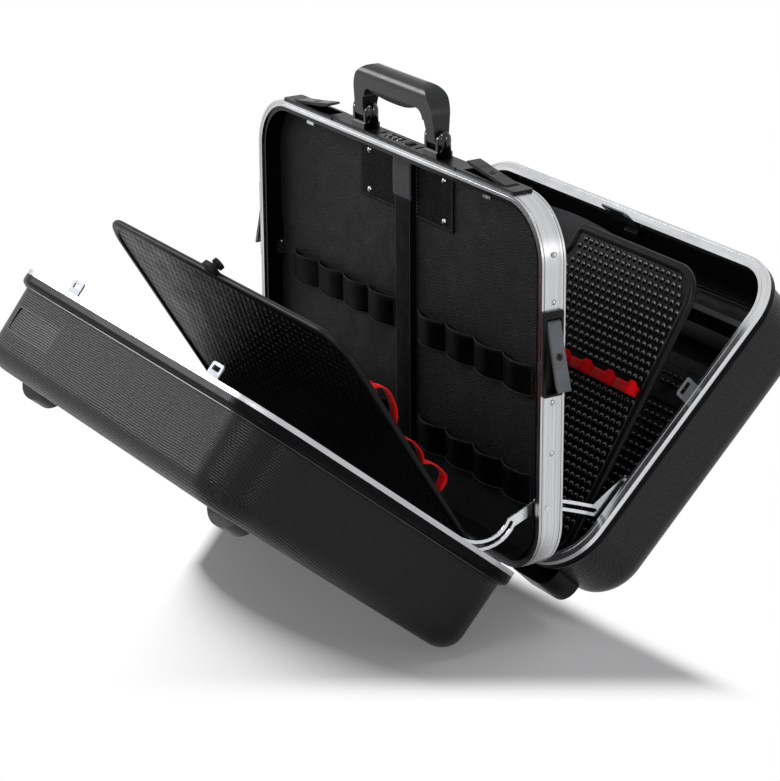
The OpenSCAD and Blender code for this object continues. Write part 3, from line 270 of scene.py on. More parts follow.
def shell_material(name, matrix, depth, badge=False):
    """Moulded sheet with fine lines along the case, crossed by slanting ones, both a little wavy."""
    m = Nodes(name, rgb("#101112"), 0.3, specular=0.12)
    place = m.local(matrix)
    x, y, z = m.split(place)
    drift = m.math("MULTIPLY", m.noise(14, 2, 0.5, place), 0.006)
    # The lines run round the walls, and from side to side on the flat outer face
    flat = m.span(z, (depth - 2.0) * MM, (depth - 1.0) * MM)
    along = m.math("ADD", z, m.math("MULTIPLY", y, m.math("MULTIPLY_ADD", flat, 0.94, 0.06)))
    lines = m.wave(m.math("ADD", along, drift), LINE_PITCH * MM)
    slant = m.math("ADD", m.math("ADD", x, y), m.math("MULTIPLY", z, 0.8))
    grain = m.sum(lines, 0.75, m.wave(slant, CROSS_PITCH * MM), 0.35)
    if badge:
        inside, step, lit = badge_masks(m, x, y, z)
        grain = m.math("MULTIPLY", grain, m.math("MULTIPLY_ADD", inside, -0.6, 1.0))
    m.bump(m.math("MULTIPLY_ADD", m.noise(900, 2), 0.2, grain), 0.00038, 0.8)
    # Painted light on the fine relief: the crests of the lines are paler than the hollows between them, and
    # the paleness also varies at random
    pale = m.math("MULTIPLY", grain, m.span(m.noise(9, 5, 0.6), 0.3, 0.8, 0.7, 1.0))
    tone = m.mix(m.span(pale, 0.2, 0.9), rgb("#0a0a0b"), rgb("#252627"))
    if badge:
        tone = m.mix(step, m.mix(lit, tone, rgb("#4c4e50")), rgb("#020202"))
    m.set("Base Color", tone)
    m.roughness(m.noise(35, 4), 0.27, 0.31)
    return m.material


def plastic(name, code, low, high, grain=700, depth=0.00004, specular=0.5, coat=0.0):
    """Moulded plastic with a fine grain, rough from low to high."""
    base = rgb(code)
    m = Nodes(name, base, (low + high) / 2, specular=specular)
    m.color(m.span(m.noise(40, 5), 0.35, 0.7), scaled(base, 0.86), scaled(base, 1.18))
    m.roughness(m.noise(60, 4), low, high)
    m.bump(m.noise(grain, 3), depth, 0.6)
    m.set("Coat Weight", coat)
    m.set("Coat Roughness", 0.08)
    return m.material


def brushed(name, code, low, high, stretch, matrix=None, streak=0.25, lip=False):
    """Metal brushed along the small numbers of stretch. A rim's deep edge, beside the bumper, is darker."""
    base = rgb(code)
    m = Nodes(name, base, (low + high) / 2, metallic=1.0)
    place = m.local(matrix) if matrix else m.place
    lines = m.noise(1.0, 4, 0.6, m.stretch(stretch, place))
    broad = m.noise(1.0, 2, 0.5, m.stretch(scaled(stretch, 0.22), place))
    both = m.sum(lines, 0.6, broad, 0.4)
    tone = m.mix(m.span(both, 0.35, 0.65), scaled(base, 1 - streak), scaled(base, 1.06))
    if lip:
        deep = m.span(m.split(place)[2], (RIM_LIP - 0.4) * MM, (RIM_LIP + 0.4) * MM)
        tone = m.mix(deep, tone, rgb("#3a3b3c"))
    m.set("Base Color", tone)
    m.roughness(both, low, high, 0.35, 0.65)
    m.bump(lines, 0.00002, 0.5)
    return m.material


def steel(name, code, low, high):
    """Plated or tumbled steel, a little clouded."""
    base = rgb(code)
    m = Nodes(name, base, 0.2, metallic=1.0)
    m.color(m.span(m.noise(120, 4), 0.35, 0.7), scaled(base, 0.85), base)
    m.roughness(m.noise(220, 4), low, high)
    m.bump(m.noise(1500, 2), 0.00001, 0.5)
    return m.material


def webbing(name, code, light, matrix, rib_axis=1, rib=1.1, low=0.62, sheen=0.0, specular=0.09):
    """Woven band: ribs every rib mm across rib_axis, threads along, paler fluff on the crowns."""
    m = Nodes(name, rgb(code), 0.8, specular=specular)
    xyz = m.split(m.local(matrix))
    weave = m.sum(m.wave(xyz[rib_axis], rib * MM), 0.7, m.wave(xyz[0], rib * 0.8 * MM), 0.5)
    m.bump(m.math("MULTIPLY_ADD", m.noise(1200, 4), 0.5, weave), 0.00025, 0.8)
    pale = m.span(m.math("ADD", weave, m.math("MULTIPLY", m.noise(60, 4), 0.8)), 0.9, 1.9)
    m.color(pale, rgb(code), rgb(light))
    m.roughness(m.noise(90, 3), low, low + 0.22)
    m.set("Sheen Weight", sheen)
    m.set("Sheen Roughness", 0.4)
    return m.material


# Recesses on the back of the boards: pitch and size across and up, in mm
RECESS_PITCH, RECESS_SIZE = (9.8, 8.6), (7.6, 6.2)


def recesses(m, place):
    """Staggered rows of oval recesses across x and y: 0 outside and 1 in the middle of each."""
    x, y, _ = m.split(place)
    up = m.math("DIVIDE", y, RECESS_PITCH[1] * MM)
    row = m.math("ABSOLUTE", m.math("FLOOR", up))
    odd = m.math("MULTIPLY", m.math("MODULO", row, 2.0), 0.5)
    across = m.math("ADD", m.math("DIVIDE", x, RECESS_PITCH[0] * MM), odd)
    off = []
    for value, pitch, size in zip((across, up), RECESS_PITCH, RECESS_SIZE):
        middle = m.math("SUBTRACT", m.math("FRACT", value), 0.5)
        share = m.math("ABSOLUTE", m.math("DIVIDE", middle, size / pitch / 2))
        off.append(m.math("POWER", share, 2.0))
    return m.math("SUBTRACT", 1.0, m.math("ADD", *off), clamp=True)


def board_material(name, matrix, code, light):
    """Formed sheet: staggered recesses on the back and fine grain between. The ridges round the recesses
    carry a painted highlight, strongest near the hinge end and fading out above it.
    """
    m = Nodes(name, rgb(code), 0.34, specular=0.13)
    place = m.local(matrix)
    _, up, out = m.split(place)
    back = m.math("GREATER_THAN", out, 0.0)
    pits = m.math("MULTIPLY", recesses(m, place), back)
    grain = m.math("MULTIPLY", m.noise(800, 3), 0.06)
    m.bump(m.math("SUBTRACT", grain, m.math("POWER", pits, 0.6)), 0.0016, 0.9)
    # Painted highlight: the ridges are paler than the recesses, fully up to 5 cm from the hinge end and
    # only faintly above 20 cm
    painted_ridge_highlight = m.math("MULTIPLY", m.span(pits, 0.05, 0.5, 1, 0), back)
    m.color(m.math("MULTIPLY", painted_ridge_highlight, m.span(up, 0.05, 0.20, 1.0, 0.12)), rgb(code), rgb(light))
    m.roughness(m.noise(50, 4), 0.28, 0.42)
    return m.material


def leather(name, code, light, low, high, scale, depth, specular):
    """Creased skin or pressed fibre, with scale cells to the metre."""
    m = Nodes(name, rgb(code), 0.6, specular=specular)
    shift = m.node("ShaderNodeVectorMath", operation="SCALE")
    shift.inputs["Scale"].default_value = 0.002
    m.link(m.noise(90, 2.0, 0.5, out="Color"), shift.inputs[0])
    warped = m.node("ShaderNodeVectorMath", operation="ADD")
    m.link(m.place, warped.inputs[0])
    m.link(shift.outputs[0], warped.inputs[1])
    creases = m.span(m.cell_edges(scale, warped.outputs[0]), 0.0, 0.22)
    m.bump(m.math("MULTIPLY_ADD", m.noise(1400, 3), 0.3, creases), depth, 0.7)
    cloud = m.math("ADD", m.math("MULTIPLY", creases, 0.4), m.noise(14, 5))
    m.color(m.span(cloud, 0.55, 1.1), rgb(code), rgb(light))
    m.roughness(m.noise(45, 4), low, high)
    return m.material


def grip_material():
    """Rubber with a cross-hatch of raised diamonds."""
    m = Nodes("crosshatched_grip", rgb("#0a0a0b"), 0.4, specular=0.3)
    pitch = 0.0056
    x, y, _ = m.split(m.place)
    height = m.math("MINIMUM", m.wave(m.math("ADD", x, y), pitch), m.wave(m.math("SUBTRACT", x, y), pitch))
    m.bump(m.math("MULTIPLY_ADD", m.noise(900, 2), 0.1, height), 0.0022, 1.0)
    m.color(height, rgb("#040405"), rgb("#1a1b1c"))
    m.roughness(m.noise(70, 3), 0.3, 0.42)
    return m.material


# Finishes: a name, a colour, the roughness from and to, and what sets each one apart
MAT = {
    "shell_front": shell_material("black_grained_shell_front", FRONT, FRONT_DEPTH, badge=True),
    "shell_rear": shell_material("black_grained_shell_rear", REAR, REAR_DEPTH),
    "bumper": plastic("black_bumper", "#040405", 0.24, 0.3, grain=500, depth=0.00002, specular=0.06),
    "trim": plastic("black_trim", "#0b0b0c", 0.34, 0.44, grain=900, depth=0.00006, specular=0.12),
    "foot": plastic("black_rubber_foot", "#070708", 0.26, 0.36, grain=1200, depth=0.00006, specular=0.12),
    "handle": plastic("dark_handle", "#1a1b1c", 0.2, 0.28, grain=1100, depth=0.00003, specular=0.28),
    "grip": grip_material(),
    "glossy": plastic(
        "glossy_black", "#040505", 0.06, 0.12, grain=300, depth=0.00001, specular=0.4, coat=0.15),
    "strip": plastic("dark_strip", "#0a0b0c", 0.3, 0.4, grain=800, specular=0.13),
    "plate": plastic("lock_plate", "#0d0e0f", 0.28, 0.38, specular=0.15),
    "top_lever": plastic("top_lock_lever", "#131415", 0.26, 0.36, depth=0.00003, specular=0.18),
    "side_lever": plastic("side_lock_lever", "#4d5053", 0.28, 0.42, depth=0.00003, specular=0.3),
    "plug": plastic("black_key_plug", "#050506", 0.22, 0.34, depth=0.00003, specular=0.2),
    "slide": plastic("lock_slide", "#0a0b0c", 0.4, 0.55, specular=0.22),
    "dial": plastic("dial_wheel", "#0e0f10", 0.3, 0.45, specular=0.22),
    "number": plastic("dial_number", "#eceded", 0.4, 0.5),
    "liner": plastic("frame_liner", "#040405", 0.18, 0.26, grain=600, depth=0.00003, specular=0.2),
    "divider": plastic("divider_strip", "#1c1d1e", 0.3, 0.42, specular=0.25),
    "lining": plastic("lining_sheet", "#070808", 0.24, 0.36, specular=0.3),
    "dome": plastic("board_dome", "#070708", 0.16, 0.22, grain=900, depth=0.00002, specular=0.7),
    # Lining domes: a paler copy of the board domes' finish, painted light on domes that lie in shade
    "lining_dome": plastic("lining_dome", "#131415", 0.2, 0.28, grain=900, depth=0.00003, specular=0.8),
    "thread": plastic("thread", "#4a4c50", 0.6, 0.75, grain=1500, depth=0.00005, specular=0.3),
    "band": brushed("brushed_frame_band", "#d0d1d3", 0.2, 0.36, (9, 2600, 9), STAND, streak=0.42),
    "rim_front": brushed(
        "brushed_rim_front", "#babbbd", 0.24, 0.36, (20, 20, 1800), FRONT, streak=0.22, lip=True),
    "rim_rear": brushed(
        "brushed_rim_rear", "#d4d5d7", 0.2, 0.32, (20, 20, 1800), REAR, streak=0.22, lip=True),
    "stay": brushed("stay_steel", "#d5d7da", 0.16, 0.3, (600, 600, 600), streak=0.14),
    "steel": steel("plated_steel", "#c9ccd0", 0.14, 0.3),
    "rivet": steel("rivet_heads", "#a9abae", 0.16, 0.26),
    "catch": steel("catch_steel", "#6c6e72", 0.28, 0.42),
    "hinge": steel("hinge_steel", "#a4a7aa", 0.22, 0.38),
    "panel": leather("panel_fibre", "#090a0b", "#17181a", 0.4, 0.6, 520, 0.0005, 0.13),
    "patch": leather("leather_patch", "#030304", "#090a0a", 0.38, 0.54, 380, 0.0005, 0.04),
    "flap": leather("flap_cloth", "#1b1c1e", "#27292b", 0.45, 0.6, 900, 0.0002, 0.22),
    "strap_end": leather("strap_end", "#2e3031", "#3b3d3f", 0.5, 0.62, 600, 0.0002, 0.22),
    # The boards' second colour is the painted highlight on the ridges of their backs
    "front_board": board_material("front_board_sheet", FRONT_BOARD, "#020202", "#303133"),
    "rear_board": board_material("rear_board_sheet", REAR_BOARD, "#060607", "#0d0e0f"),
    "elastic_front": webbing("red_elastic_front", "#d8060e", "#ff141c", FRONT_BOARD, sheen=0.1),
    "elastic_rear": webbing("red_elastic_rear", "#d8060e", "#ff141c", REAR_BOARD, sheen=0.1),
    "pocket": webbing("black_webbing", "#010102", "#060607", STAND, rib_axis=2, low=0.26, specular=0.035),
    "hem": webbing("pocket_hem", "#101112", "#35373a", STAND, rib_axis=0, rib=1.4, low=0.34, sheen=0.08),
    "strap": webbing(
        "strap_webbing", "#040405", "#0b0c0d", STAND, rib_axis=2, rib=1.4, low=0.36, specular=0.04),
}

# Which nodes have which finish
WORN_BY = {
    "band": "frame_band", "liner": "frame_liner", "panel": "centre_panel", "patch": "panel_patches",
    "rivet": "rivets", "strap": "centre_strap", "pocket": "upper_pockets lower_pockets",
    "strip": "top_strip combination_housing", "glossy": "handle_mounts pivot_pins",
    "handle": "handle", "grip": "handle_grip", "dial": "dial_1 dial_2 dial_3", "slide": "lock_slide",
    "plate": "top_lock_trays side_lock_trays", "top_lever": "top_lever_left top_lever_right",
    "side_lever": "side_lever_left side_lever_right",
    "plug": "top_plug_left top_plug_right side_plug_left side_plug_right",
    "steel": "latch_bolts frame_stay_pins front_shell_pins rear_shell_pins",
    "hinge": "frame_leaves hinge_pins front_leaves rear_leaves",
    "shell_front": "front_shell", "shell_rear": "rear_shell",
    "rim_front": "front_rim", "rim_rear": "rear_rim",
    "bumper": "front_bumper rear_bumper", "catch": "front_catches rear_catches",
    "foot": "front_feet rear_feet", "trim": "front_board_trim rear_board_trim",
    "front_board": "front_board", "rear_board": "rear_board", "flap": "rear_flap",
    "elastic_front": "front_elastic", "elastic_rear": "rear_elastic",
    "divider": "rear_divider", "lining": "rear_lining",
    "stay": "front_stay_left front_stay_right rear_stay_left rear_stay_right",
}
for look, names in WORN_BY.items():
    for node in names.split():
        mesh = NODES[node].data
        mesh.materials.clear()
        mesh.materials.append(MAT[look])


def darken_clip():
    """The clip under the rear shell's top wall is dark, and lies deeper than the catches of its node."""
    deepest_catch = 16 * MM
    mesh = NODES["rear_catches"].data
    mesh.materials.append(MAT["plate"])
    to_rear = REAR.inverted() @ NODES["rear_catches"].matrix_world
    for face in mesh.polygons:
        if (to_rear @ face.center).z > deepest_catch:
            face.material_index = 1


darken_clip()


# Pieces that the solids leave out, in mm of the space that carries them
def piece(name, bm, matrix, body, material, stands_for=(), smooth=True):
    """A mesh piece from mm coordinates of matrix's space, riding on a body."""
    bmesh.ops.transform(bm, matrix=matrix @ Matrix.Scale(MM, 4), verts=bm.verts)
    bmesh.ops.recalc_face_normals(bm, faces=bm.faces)
    mesh = bpy.data.meshes.new(name)
    bm.to_mesh(mesh)
    bm.free()
    mesh.materials.append(material)
    if smooth:
        mesh.shade_smooth()
    ob = bpy.data.objects.new(name, mesh)
    bpy.context.scene.collection.objects.link(ob)
    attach(ob, body)
    if stands_for:
        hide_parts(*stands_for)
    return ob


def slab(bm, place, nu, nv, thick):
    """A sheet with thin edges round the middle surface place(u, v)."""
    thin = 0.35
    mid = [[Vector(place(i / nu, j / nv)) for j in range(nv + 1)] for i in range(nu + 1)]
    faces = []
    for side in (1, -1):
        rows = []
        for i in range(nu + 1):
            row = []
            for j in range(nv + 1):
                du = mid[min(i + 1, nu)][j] - mid[max(i - 1, 0)][j]
                dv = mid[i][min(j + 1, nv)] - mid[i][max(j - 1, 0)]
                half = thick / 2 * (thin if i in (0, nu) or j in (0, nv) else 1)
                row.append(bm.verts.new(mid[i][j] + du.cross(dv).normalized() * half * side))
            rows.append(row)
        faces.append(rows)
        for i in range(nu):
            for j in range(nv):
                quad = (rows[i][j], rows[i + 1][j], rows[i + 1][j + 1], rows[i][j + 1])
                bm.faces.new(quad if side > 0 else quad[::-1])
    front, back = faces
    border = (
        [(i, 0) for i in range(nu)] + [(nu, j) for j in range(nv)]
        + [(i, nv) for i in range(nu, 0, -1)] + [(0, j) for j in range(nv, 0, -1)]
    )
    for (i, j), (p, q) in zip(border, border[1:] + border[:1]):
        bm.faces.new((front[i][j], back[i][j], back[p][q], front[p][q]))


def tube(bm, rings):
    """The skin along a row of closed rings, shut at both ends."""
    n = len(rings[0])
    for low, high in zip(rings, rings[1:]):
        for k in range(n):
            bm.faces.new((low[k], low[(k + 1) % n], high[(k + 1) % n], high[k]))
    bm.faces.new(rings[0][::-1])
    bm.faces.new(rings[-1])


def stitch(bm, a, b, out, step=3.0, length=2.0):
    """A row of raised thread stitches from a to b."""
    radius, sides = 0.28, 6
    a, b, out = Vector(a), Vector(b), Vector(out).normalized()
    along = (b - a).normalized()
    side = along.cross(out)
    for k in range(int((b - a).length / step)):
        start = a + along * (step * (k + 0.5) - length / 2)
        rings = []
        for t in (0.0, 0.2, 0.5, 0.8, 1.0):
            bow = math.sin(math.pi * t)
            half = radius * (0.5 + 0.5 * bow)
            lift = radius * (0.1 + 0.9 * bow ** 0.5)
            middle = start + along * length * t
            rings.append([
                bm.verts.new(middle + side * math.cos(turned) * half + out * (math.sin(turned) * lift))
                for turned in (2 * math.pi * s / sides for s in range(sides))
            ])
        tube(bm, rings)


# Webbing rows on the centre panel: upper edges, then height, start beside the strap, length, loops, bulge
POCKET_TOPS = {"upper": 186, "lower": 86}
POCKET_TALL, POCKET_START, POCKET_RUN, POCKET_LOOPS, POCKET_BULGE = 30, 20.5, 183, 4, 8.0


def pocket_surface(side, top, loops):
    """The middle surface of the row on one side, from each loop's height, lean and droop."""
    edge, sewn, skin = 0.6, 0.75, 0.6

    def place(u, v, lift=0.0):
        k = min(int(u * POCKET_LOOPS), POCKET_LOOPS - 1)
        t = u * POCKET_LOOPS - k
        high, lean, droop = loops[k]
        leant = min(max(t + lean * math.sin(math.pi * t), 0.0), 1.0)
        flare = 0.90 + 0.14 * v
        out = sewn + (high - skin) * math.sin(math.pi * leant) ** 0.8 * flare
        z = top - POCKET_TALL + edge + (POCKET_TALL - 2 * edge) * v + droop * math.sin(math.pi * t) * v
        return (side * (POCKET_START + POCKET_RUN * u), PANEL_FACE - out - lift, z)

    return place


def pocket_rows(name, top):
    """One row of webbing loops on each side of the strap, with its hems and the seams between the loops."""
    bm, hems, threads = bmesh.new(), bmesh.new(), bmesh.new()
    steps, thick, sewn = 24 * POCKET_LOOPS, 1.3, PANEL_FACE - 1.5
    for side in (-1, 1):
        place = pocket_surface(side, top, [
            (rng.uniform(0.86, 1.04) * POCKET_BULGE, rng.uniform(-0.05, 0.05), rng.uniform(-0.8, 0.8))
            for _ in range(POCKET_LOOPS)
        ])
        slab(bm, place, steps, 10, thick)
        # Turned hems along the upper and lower edge, a little thicker than the webbing
        slab(hems, lambda u, v: place(u, 0.965 + 0.033 * v, 0.12), steps, 2, thick + 0.2)
        slab(hems, lambda u, v: place(u, 0.003 + 0.03 * v, 0.1), steps, 2, thick + 0.1)
        for k in range(POCKET_LOOPS + 1):
            inward = {0: 1.2, POCKET_LOOPS: -1.2}.get(k, 0)
            x = side * (POCKET_START + POCKET_RUN * k / POCKET_LOOPS + inward)
            for beside in (-0.8, 0.8):
                low, high = top - POCKET_TALL + 1.5, top - 1.5
                stitch(threads, (x + beside, sewn, low), (x + beside, sewn, high), (0, -1, 0))
    ob = piece(f"{name}_pocket_webbing", bm, STAND, "frame", MAT["pocket"], [f"{name}_pockets"])
    hem = piece(f"{name}_pocket_hems", hems, STAND, "frame", MAT["hem"])
    seam = piece(f"{name}_pocket_stitches", threads, STAND, "frame", MAT["thread"])


for name, top in POCKET_TOPS.items():
    pocket_rows(name, top)


def centre_strap():
    """Strap down the middle of the panel, in two layers, with its sewn end at the top."""
    bm, head, threads = bmesh.new(), bmesh.new(), bmesh.new()
    top, steps_u, steps_v = 322.0, 14, 90

    def layer(half, out, low, length, wander, ripple):
        def place(u, v):
            z = 300 * v
            sway = 0.5 * math.sin(z / 60) + 0.25 * math.sin(z / 17 + 1)
            crown = 0.5 * math.sin(math.pi * u)
            x = half * (2 * u - 1) + wander * sway
            return (x, PANEL_FACE - out - crown - ripple * sway, low + length * v)

        return place

    def end(u, v):
        crown = 0.9 * math.sin(math.pi * v) ** 0.5
        return (15.2 * (2 * u - 1), PANEL_FACE - 4.6 - crown, top - 37 + 36.4 * v)

    slab(bm, layer(14.7, 1.3, 11, top - 16, 0.2, 0), steps_u, steps_v, 2.0)
    slab(bm, layer(13.6, 3.6, 11.5, top - 26, 0.4, 0.25), steps_u, steps_v, 1.9)
    slab(head, end, steps_u, 20, 1.3)
    on_strap, on_end = PANEL_FACE - 4.75, PANEL_FACE - 5.7
    for x in (-11.8, 11.8):
        stitch(threads, (x, on_strap, 14), (x, on_strap, 295), (0, -1, 0))
    for z in (top - 34, top - 4):
        stitch(threads, (-13, on_end, z), (13, on_end, z), (0, -1, 0))
    ob = piece("centre_strap_webbing", bm, STAND, "frame", MAT["strap"], ["centre_strap"])
    seam = piece("centre_strap_stitches", threads, STAND, "frame", MAT["thread"])
    cap = piece("centre_strap_end", head, STAND, "frame", MAT["strap_end"])


centre_strap()

# Elastic: pitch and width of a row, the tab beside each seam, and the row's size before it is sewn
ROW_PITCH, ROW_WIDE, ROW_TAB = 34, 9.6, 3.4
ROW_CUT_LONG, ROW_CUT_WIDE = 500, 10
# Bands up the front board's sides: place, width, and each loop's upper and lower end, height and crown
SIDE_X, SIDE_TOP, SIDE_LONG, SIDE_WIDE = 205.5, 250, 145, 12
SIDE_CUT_LONG = 190
SIDE_LOOPS = ((240, 200, 10.0, 0.35), (180, 150, 6.0, 0.6), (150, 117, 13.0, 0.72))


def elastic_band(bm, start, along, out, across, length, width, loops, tab=0.0):
    """A band along one direction. Each loop has its first and last place, its height and its crest."""
    sewn = 0.6

    def place(u, v):
        d = length * u
        lift, up = sewn, 0.0
        for first, last, high, crest in loops:
            if first < d < last:
                t = (d - first) / (last - first)
                t = t / crest / 2 if t < crest else 0.5 + (t - crest) / (1 - crest) / 2
                lift = sewn + high * math.sin(math.pi * t) ** 0.55
                up = tab * min(max((t - 0.55) / 0.08, 0), max((0.97 - t) / 0.05, 0), 1)
        return start + along * d + across * (width * (v - 0.5) + up * min(v * 1.5, 1)) + out * lift

    slab(bm, place, max(int(length / 1.7), 20), 6, 1.3)


def elastic(name, matrix, rows, high, sides):
    """The red elastic of one board, with the seams between its loops."""
    bm, threads = bmesh.new(), bmesh.new()
    ax, ay, out = Vector((1, 0, 0)), Vector((0, 1, 0)), Vector((0, 0, -1))
    # As many loops as fit between the side bands, the same number on both halves
    count = int(SIDE_X // ROW_PITCH) * 2
    half = ROW_PITCH * count / 2
    seam_z = BOARD_FACE - 1.3
    for top in rows:
        loops = []
        for k in range(count):
            crest = rng.uniform(0.62, 0.8)
            rise = rng.uniform(0.85, 1.12) * high
            loops.append((ROW_PITCH * k + 1.5, ROW_PITCH * (k + 1) - 1.5, rise, crest))
        middle = top - 8.5
        start = Vector((-half, middle, BOARD_FACE))
        elastic_band(bm, start, ax, out, ay, 2 * half, ROW_WIDE, loops, ROW_TAB)
        for k in range(count + 1):
            x = ROW_PITCH * k - half + {0: 1.0, count: -1.0}.get(k, 0)
            stitch(threads, (x, middle - 4.5, seam_z), (x, middle + 4.5, seam_z), out, 2.4, 1.7)
    wide = len(rows) * ROW_CUT_WIDE
    long = ROW_CUT_LONG
    if sides:
        loops = [(SIDE_TOP - a, SIDE_TOP - b, rise, crest) for a, b, rise, crest in SIDE_LOOPS]
        for s in (-1, 1):
            start = Vector((s * SIDE_X, SIDE_TOP, BOARD_FACE - 0.9))
            elastic_band(bm, start, -ay, out, -s * ax, SIDE_LONG, SIDE_WIDE, loops)
        # The two side bands count as more length of the rows
        long += 2 * SIDE_CUT_LONG * SIDE_WIDE / wide
    board, look = f"{name}_board", MAT[f"elastic_{name}"]
    ob = piece(f"{name}_elastic_bands", bm, matrix, board, look, [f"{name}_elastic"])
    seam = piece(f"{name}_elastic_stitches", threads, matrix, board, look)


elastic("front", FRONT_BOARD, FRONT_ROWS, 6.0, True)
elastic("rear", REAR_BOARD, REAR_ROWS, 7.0, False)


def board_outline(h, notched, inset):
    """Points along a board's edge, from the hinge over the top and back, inset from its outline."""
    path = []

    def bend(cx, cy, radius, a0, a1, steps=14):
        for k in range(steps + 1):
            a = math.radians(a0 + (a1 - a0) * k / steps)
            path.append(Vector((cx + radius * math.cos(a), cy + radius * math.sin(a))))

    foot, corner = BOARD_HALF - BOARD_FOOT, BOARD_HALF - BOARD_CORNER
    bend(foot, BOARD_FOOT, BOARD_FOOT - inset, -60, 0)
    bend(corner, h - BOARD_CORNER, BOARD_CORNER - inset, 0, 90)
    if notched:
        bend_r = 10
        out, bottom = NOTCH_WIDE / 2, h - NOTCH_DEEP + bend_r
        bend(out + bend_r, h - bend_r, bend_r - inset, 90, 180, 8)
        bend(out - bend_r, bottom, bend_r + inset, 0, -90, 8)
        bend(bend_r - out, bottom, bend_r + inset, -90, -180, 8)
        bend(-out - bend_r, h - bend_r, bend_r - inset, 0, 90, 8)
    bend(-corner, h - BOARD_CORNER, BOARD_CORNER - inset, 90, 180)
    bend(-foot, BOARD_FOOT, BOARD_FOOT - inset, 180, 240)
    return path


def edging(name, matrix, h, notched):
    """Soft round edging over the binding of a board."""
    inset, spacing, half_wide, half_thick, sides, square = 4.0, 9, 4.9, 3.3, 16, 0.8
    path = board_outline(h, notched, inset)
    fine = []
    for a, b in zip(path, path[1:]):
        steps = max(int((b - a).length / spacing), 1)
        fine += [a.lerp(b, k / steps) for k in range(steps)]
    fine.append(path[-1])
    bm = bmesh.new()
    rings = []
    for k, p in enumerate(fine):
        ahead = (fine[min(k + 1, len(fine) - 1)] - fine[max(k - 1, 0)]).normalized()
        ring = []
        for q in range(sides):
            c, s = math.cos(2 * math.pi * q / sides), math.sin(2 * math.pi * q / sides)
            u = half_wide * math.copysign(abs(c) ** square, c)
            z = half_thick * math.copysign(abs(s) ** square, s)
            ring.append(bm.verts.new((p.x + ahead.y * u, p.y - ahead.x * u, z)))
        rings.append(ring)
    tube(bm, rings)
    piece(f"{name}_edging", bm, matrix, name, MAT["trim"])


edging("front_board", FRONT_BOARD, FRONT_BOARD_H, False)
edging("rear_board", REAR_BOARD, REAR_BOARD_H, True)


def handle_posts():
    """Round posts with domed tops on the outer sides of the four cheeks that hold the handle."""
    bm = bmesh.new()
    mount_x, cheek_x, half_x, half_y = 60.5, 10.65, 5.2, 6.4
    foot, neck, dome, points = 338.4, 355.3, 7.0, 16
    steps = [(foot, 1.0), (neck, 1.0)]
    for degrees in (25, 50, 70, 82, 88):
        a = math.radians(degrees)
        steps.append((neck + dome * math.sin(a), math.cos(a)))
    for mount, way in ((-mount_x, -1), (-mount_x, 1), (mount_x, -1), (mount_x, 1)):
        rings = []
        for z, size in steps:
            rings.append([
                bm.verts.new((
                    mount + way * (cheek_x + half_x * size * max(math.cos(a), 0)),
                    half_y * size * math.sin(a),
                    z,
                ))
                for a in (math.pi * (k / points - 0.5) for k in range(points + 1))
            ])
        tube(bm, rings)
    piece("handle_mount_posts", bm, STAND, "frame", MAT["glossy"])


handle_posts()

# Domes: pitch across and up, width, height along the board, and how far they stand out
DOME_PITCH, DOME_UP, LINING_DOME_UP = 8.4, 7.3, 8.4
DOME_WIDE, DOME_TALL, DOME_OUT, DOME_SIDES = 7.4, 6.4, 2.0, 10


def dome(bm, x, y, base):
    """One oval dome, with its own flat underside at base."""
    rings = []
    for share in (0.0, 0.34, 0.7, 1.0):
        lift = DOME_OUT * math.cos(share * math.pi / 2) ** 0.8
        rings.append([
            bm.verts.new((
                x + DOME_WIDE / 2 * share * math.cos(2 * math.pi * q / DOME_SIDES),
                y + DOME_TALL / 2 * share * math.sin(2 * math.pi * q / DOME_SIDES),
                base - lift,
            ))
            for q in range(DOME_SIDES if share else 1)
        ])
    crown = rings.pop(0)[0]
    for q in range(DOME_SIDES):
        after = (q + 1) % DOME_SIDES
        bm.faces.new((crown, rings[0][q], rings[0][after]))
        for inner, outer in zip(rings, rings[1:]):
            bm.faces.new((inner[q], outer[q], outer[after], inner[after]))
    bm.faces.new(rings[-1][::-1])


def domes(name, matrix, body, base, x_half, low, high, keep, look="dome", up=DOME_UP):
    """Staggered rows of domes, wherever keep(x, y) says so."""
    bm = bmesh.new()
    y, row = low, 0
    while y < high:
        x = -x_half + (DOME_PITCH / 2 if row % 2 else 0)
        while x < x_half:
            if keep(x, y):
                dome(bm, x, y, base)
            x += DOME_PITCH
        y += up
        row += 1
    piece(name, bm, matrix, body, MAT[look])


def on_board(h, rows, notched):
    """Whether a place on a board is clear of its edges, corners, notch and elastic."""
    margin, foot_clear = 11, 12
    corner_x, corner_y = BOARD_HALF - BOARD_CORNER, h - BOARD_CORNER
    foot_x = BOARD_HALF - BOARD_FOOT

    def keep(x, y):
        x = abs(x)
        past = math.hypot(x - corner_x, y - corner_y) > BOARD_CORNER - margin
        corner = x > corner_x and y > corner_y and past
        foot = x > foot_x and y < BOARD_FOOT and math.hypot(x - foot_x, y - BOARD_FOOT) > foot_clear
        band = any(top - 16 < y < top - 1 for top in rows)
        notch = notched and x < NOTCH_WIDE / 2 + margin and y > h - NOTCH_DEEP - margin
        return not (corner or foot or band or notch)

    return keep


def board_domes(name, matrix, h, rows, notched):
    keep = on_board(h, rows, notched)
    domes(f"{name}_domes", matrix, name, BOARD_FACE + 0.02, BOARD_HALF - 10, 15, h - 10, keep)


def lining_domes():
    """Domes on the rear shell's lining, on both sides of the divider."""
    half, low, high, base = 182, 51, 232, 80.12
    divider_low, divider_high = 195, 217

    def keep(_, y):
        return not divider_low < y < divider_high

    # Their paler finish is painted light, as these domes lie in shade under the frame
    look, up = "lining_dome", LINING_DOME_UP
    domes("rear_lining_domes", REAR, "rear_shell", base, half, low, high, keep, look, up)


board_domes("rear_board", REAR_BOARD, REAR_BOARD_H, REAR_ROWS, True)
board_domes("front_board", FRONT_BOARD, FRONT_BOARD_H, FRONT_ROWS, False)
lining_domes()


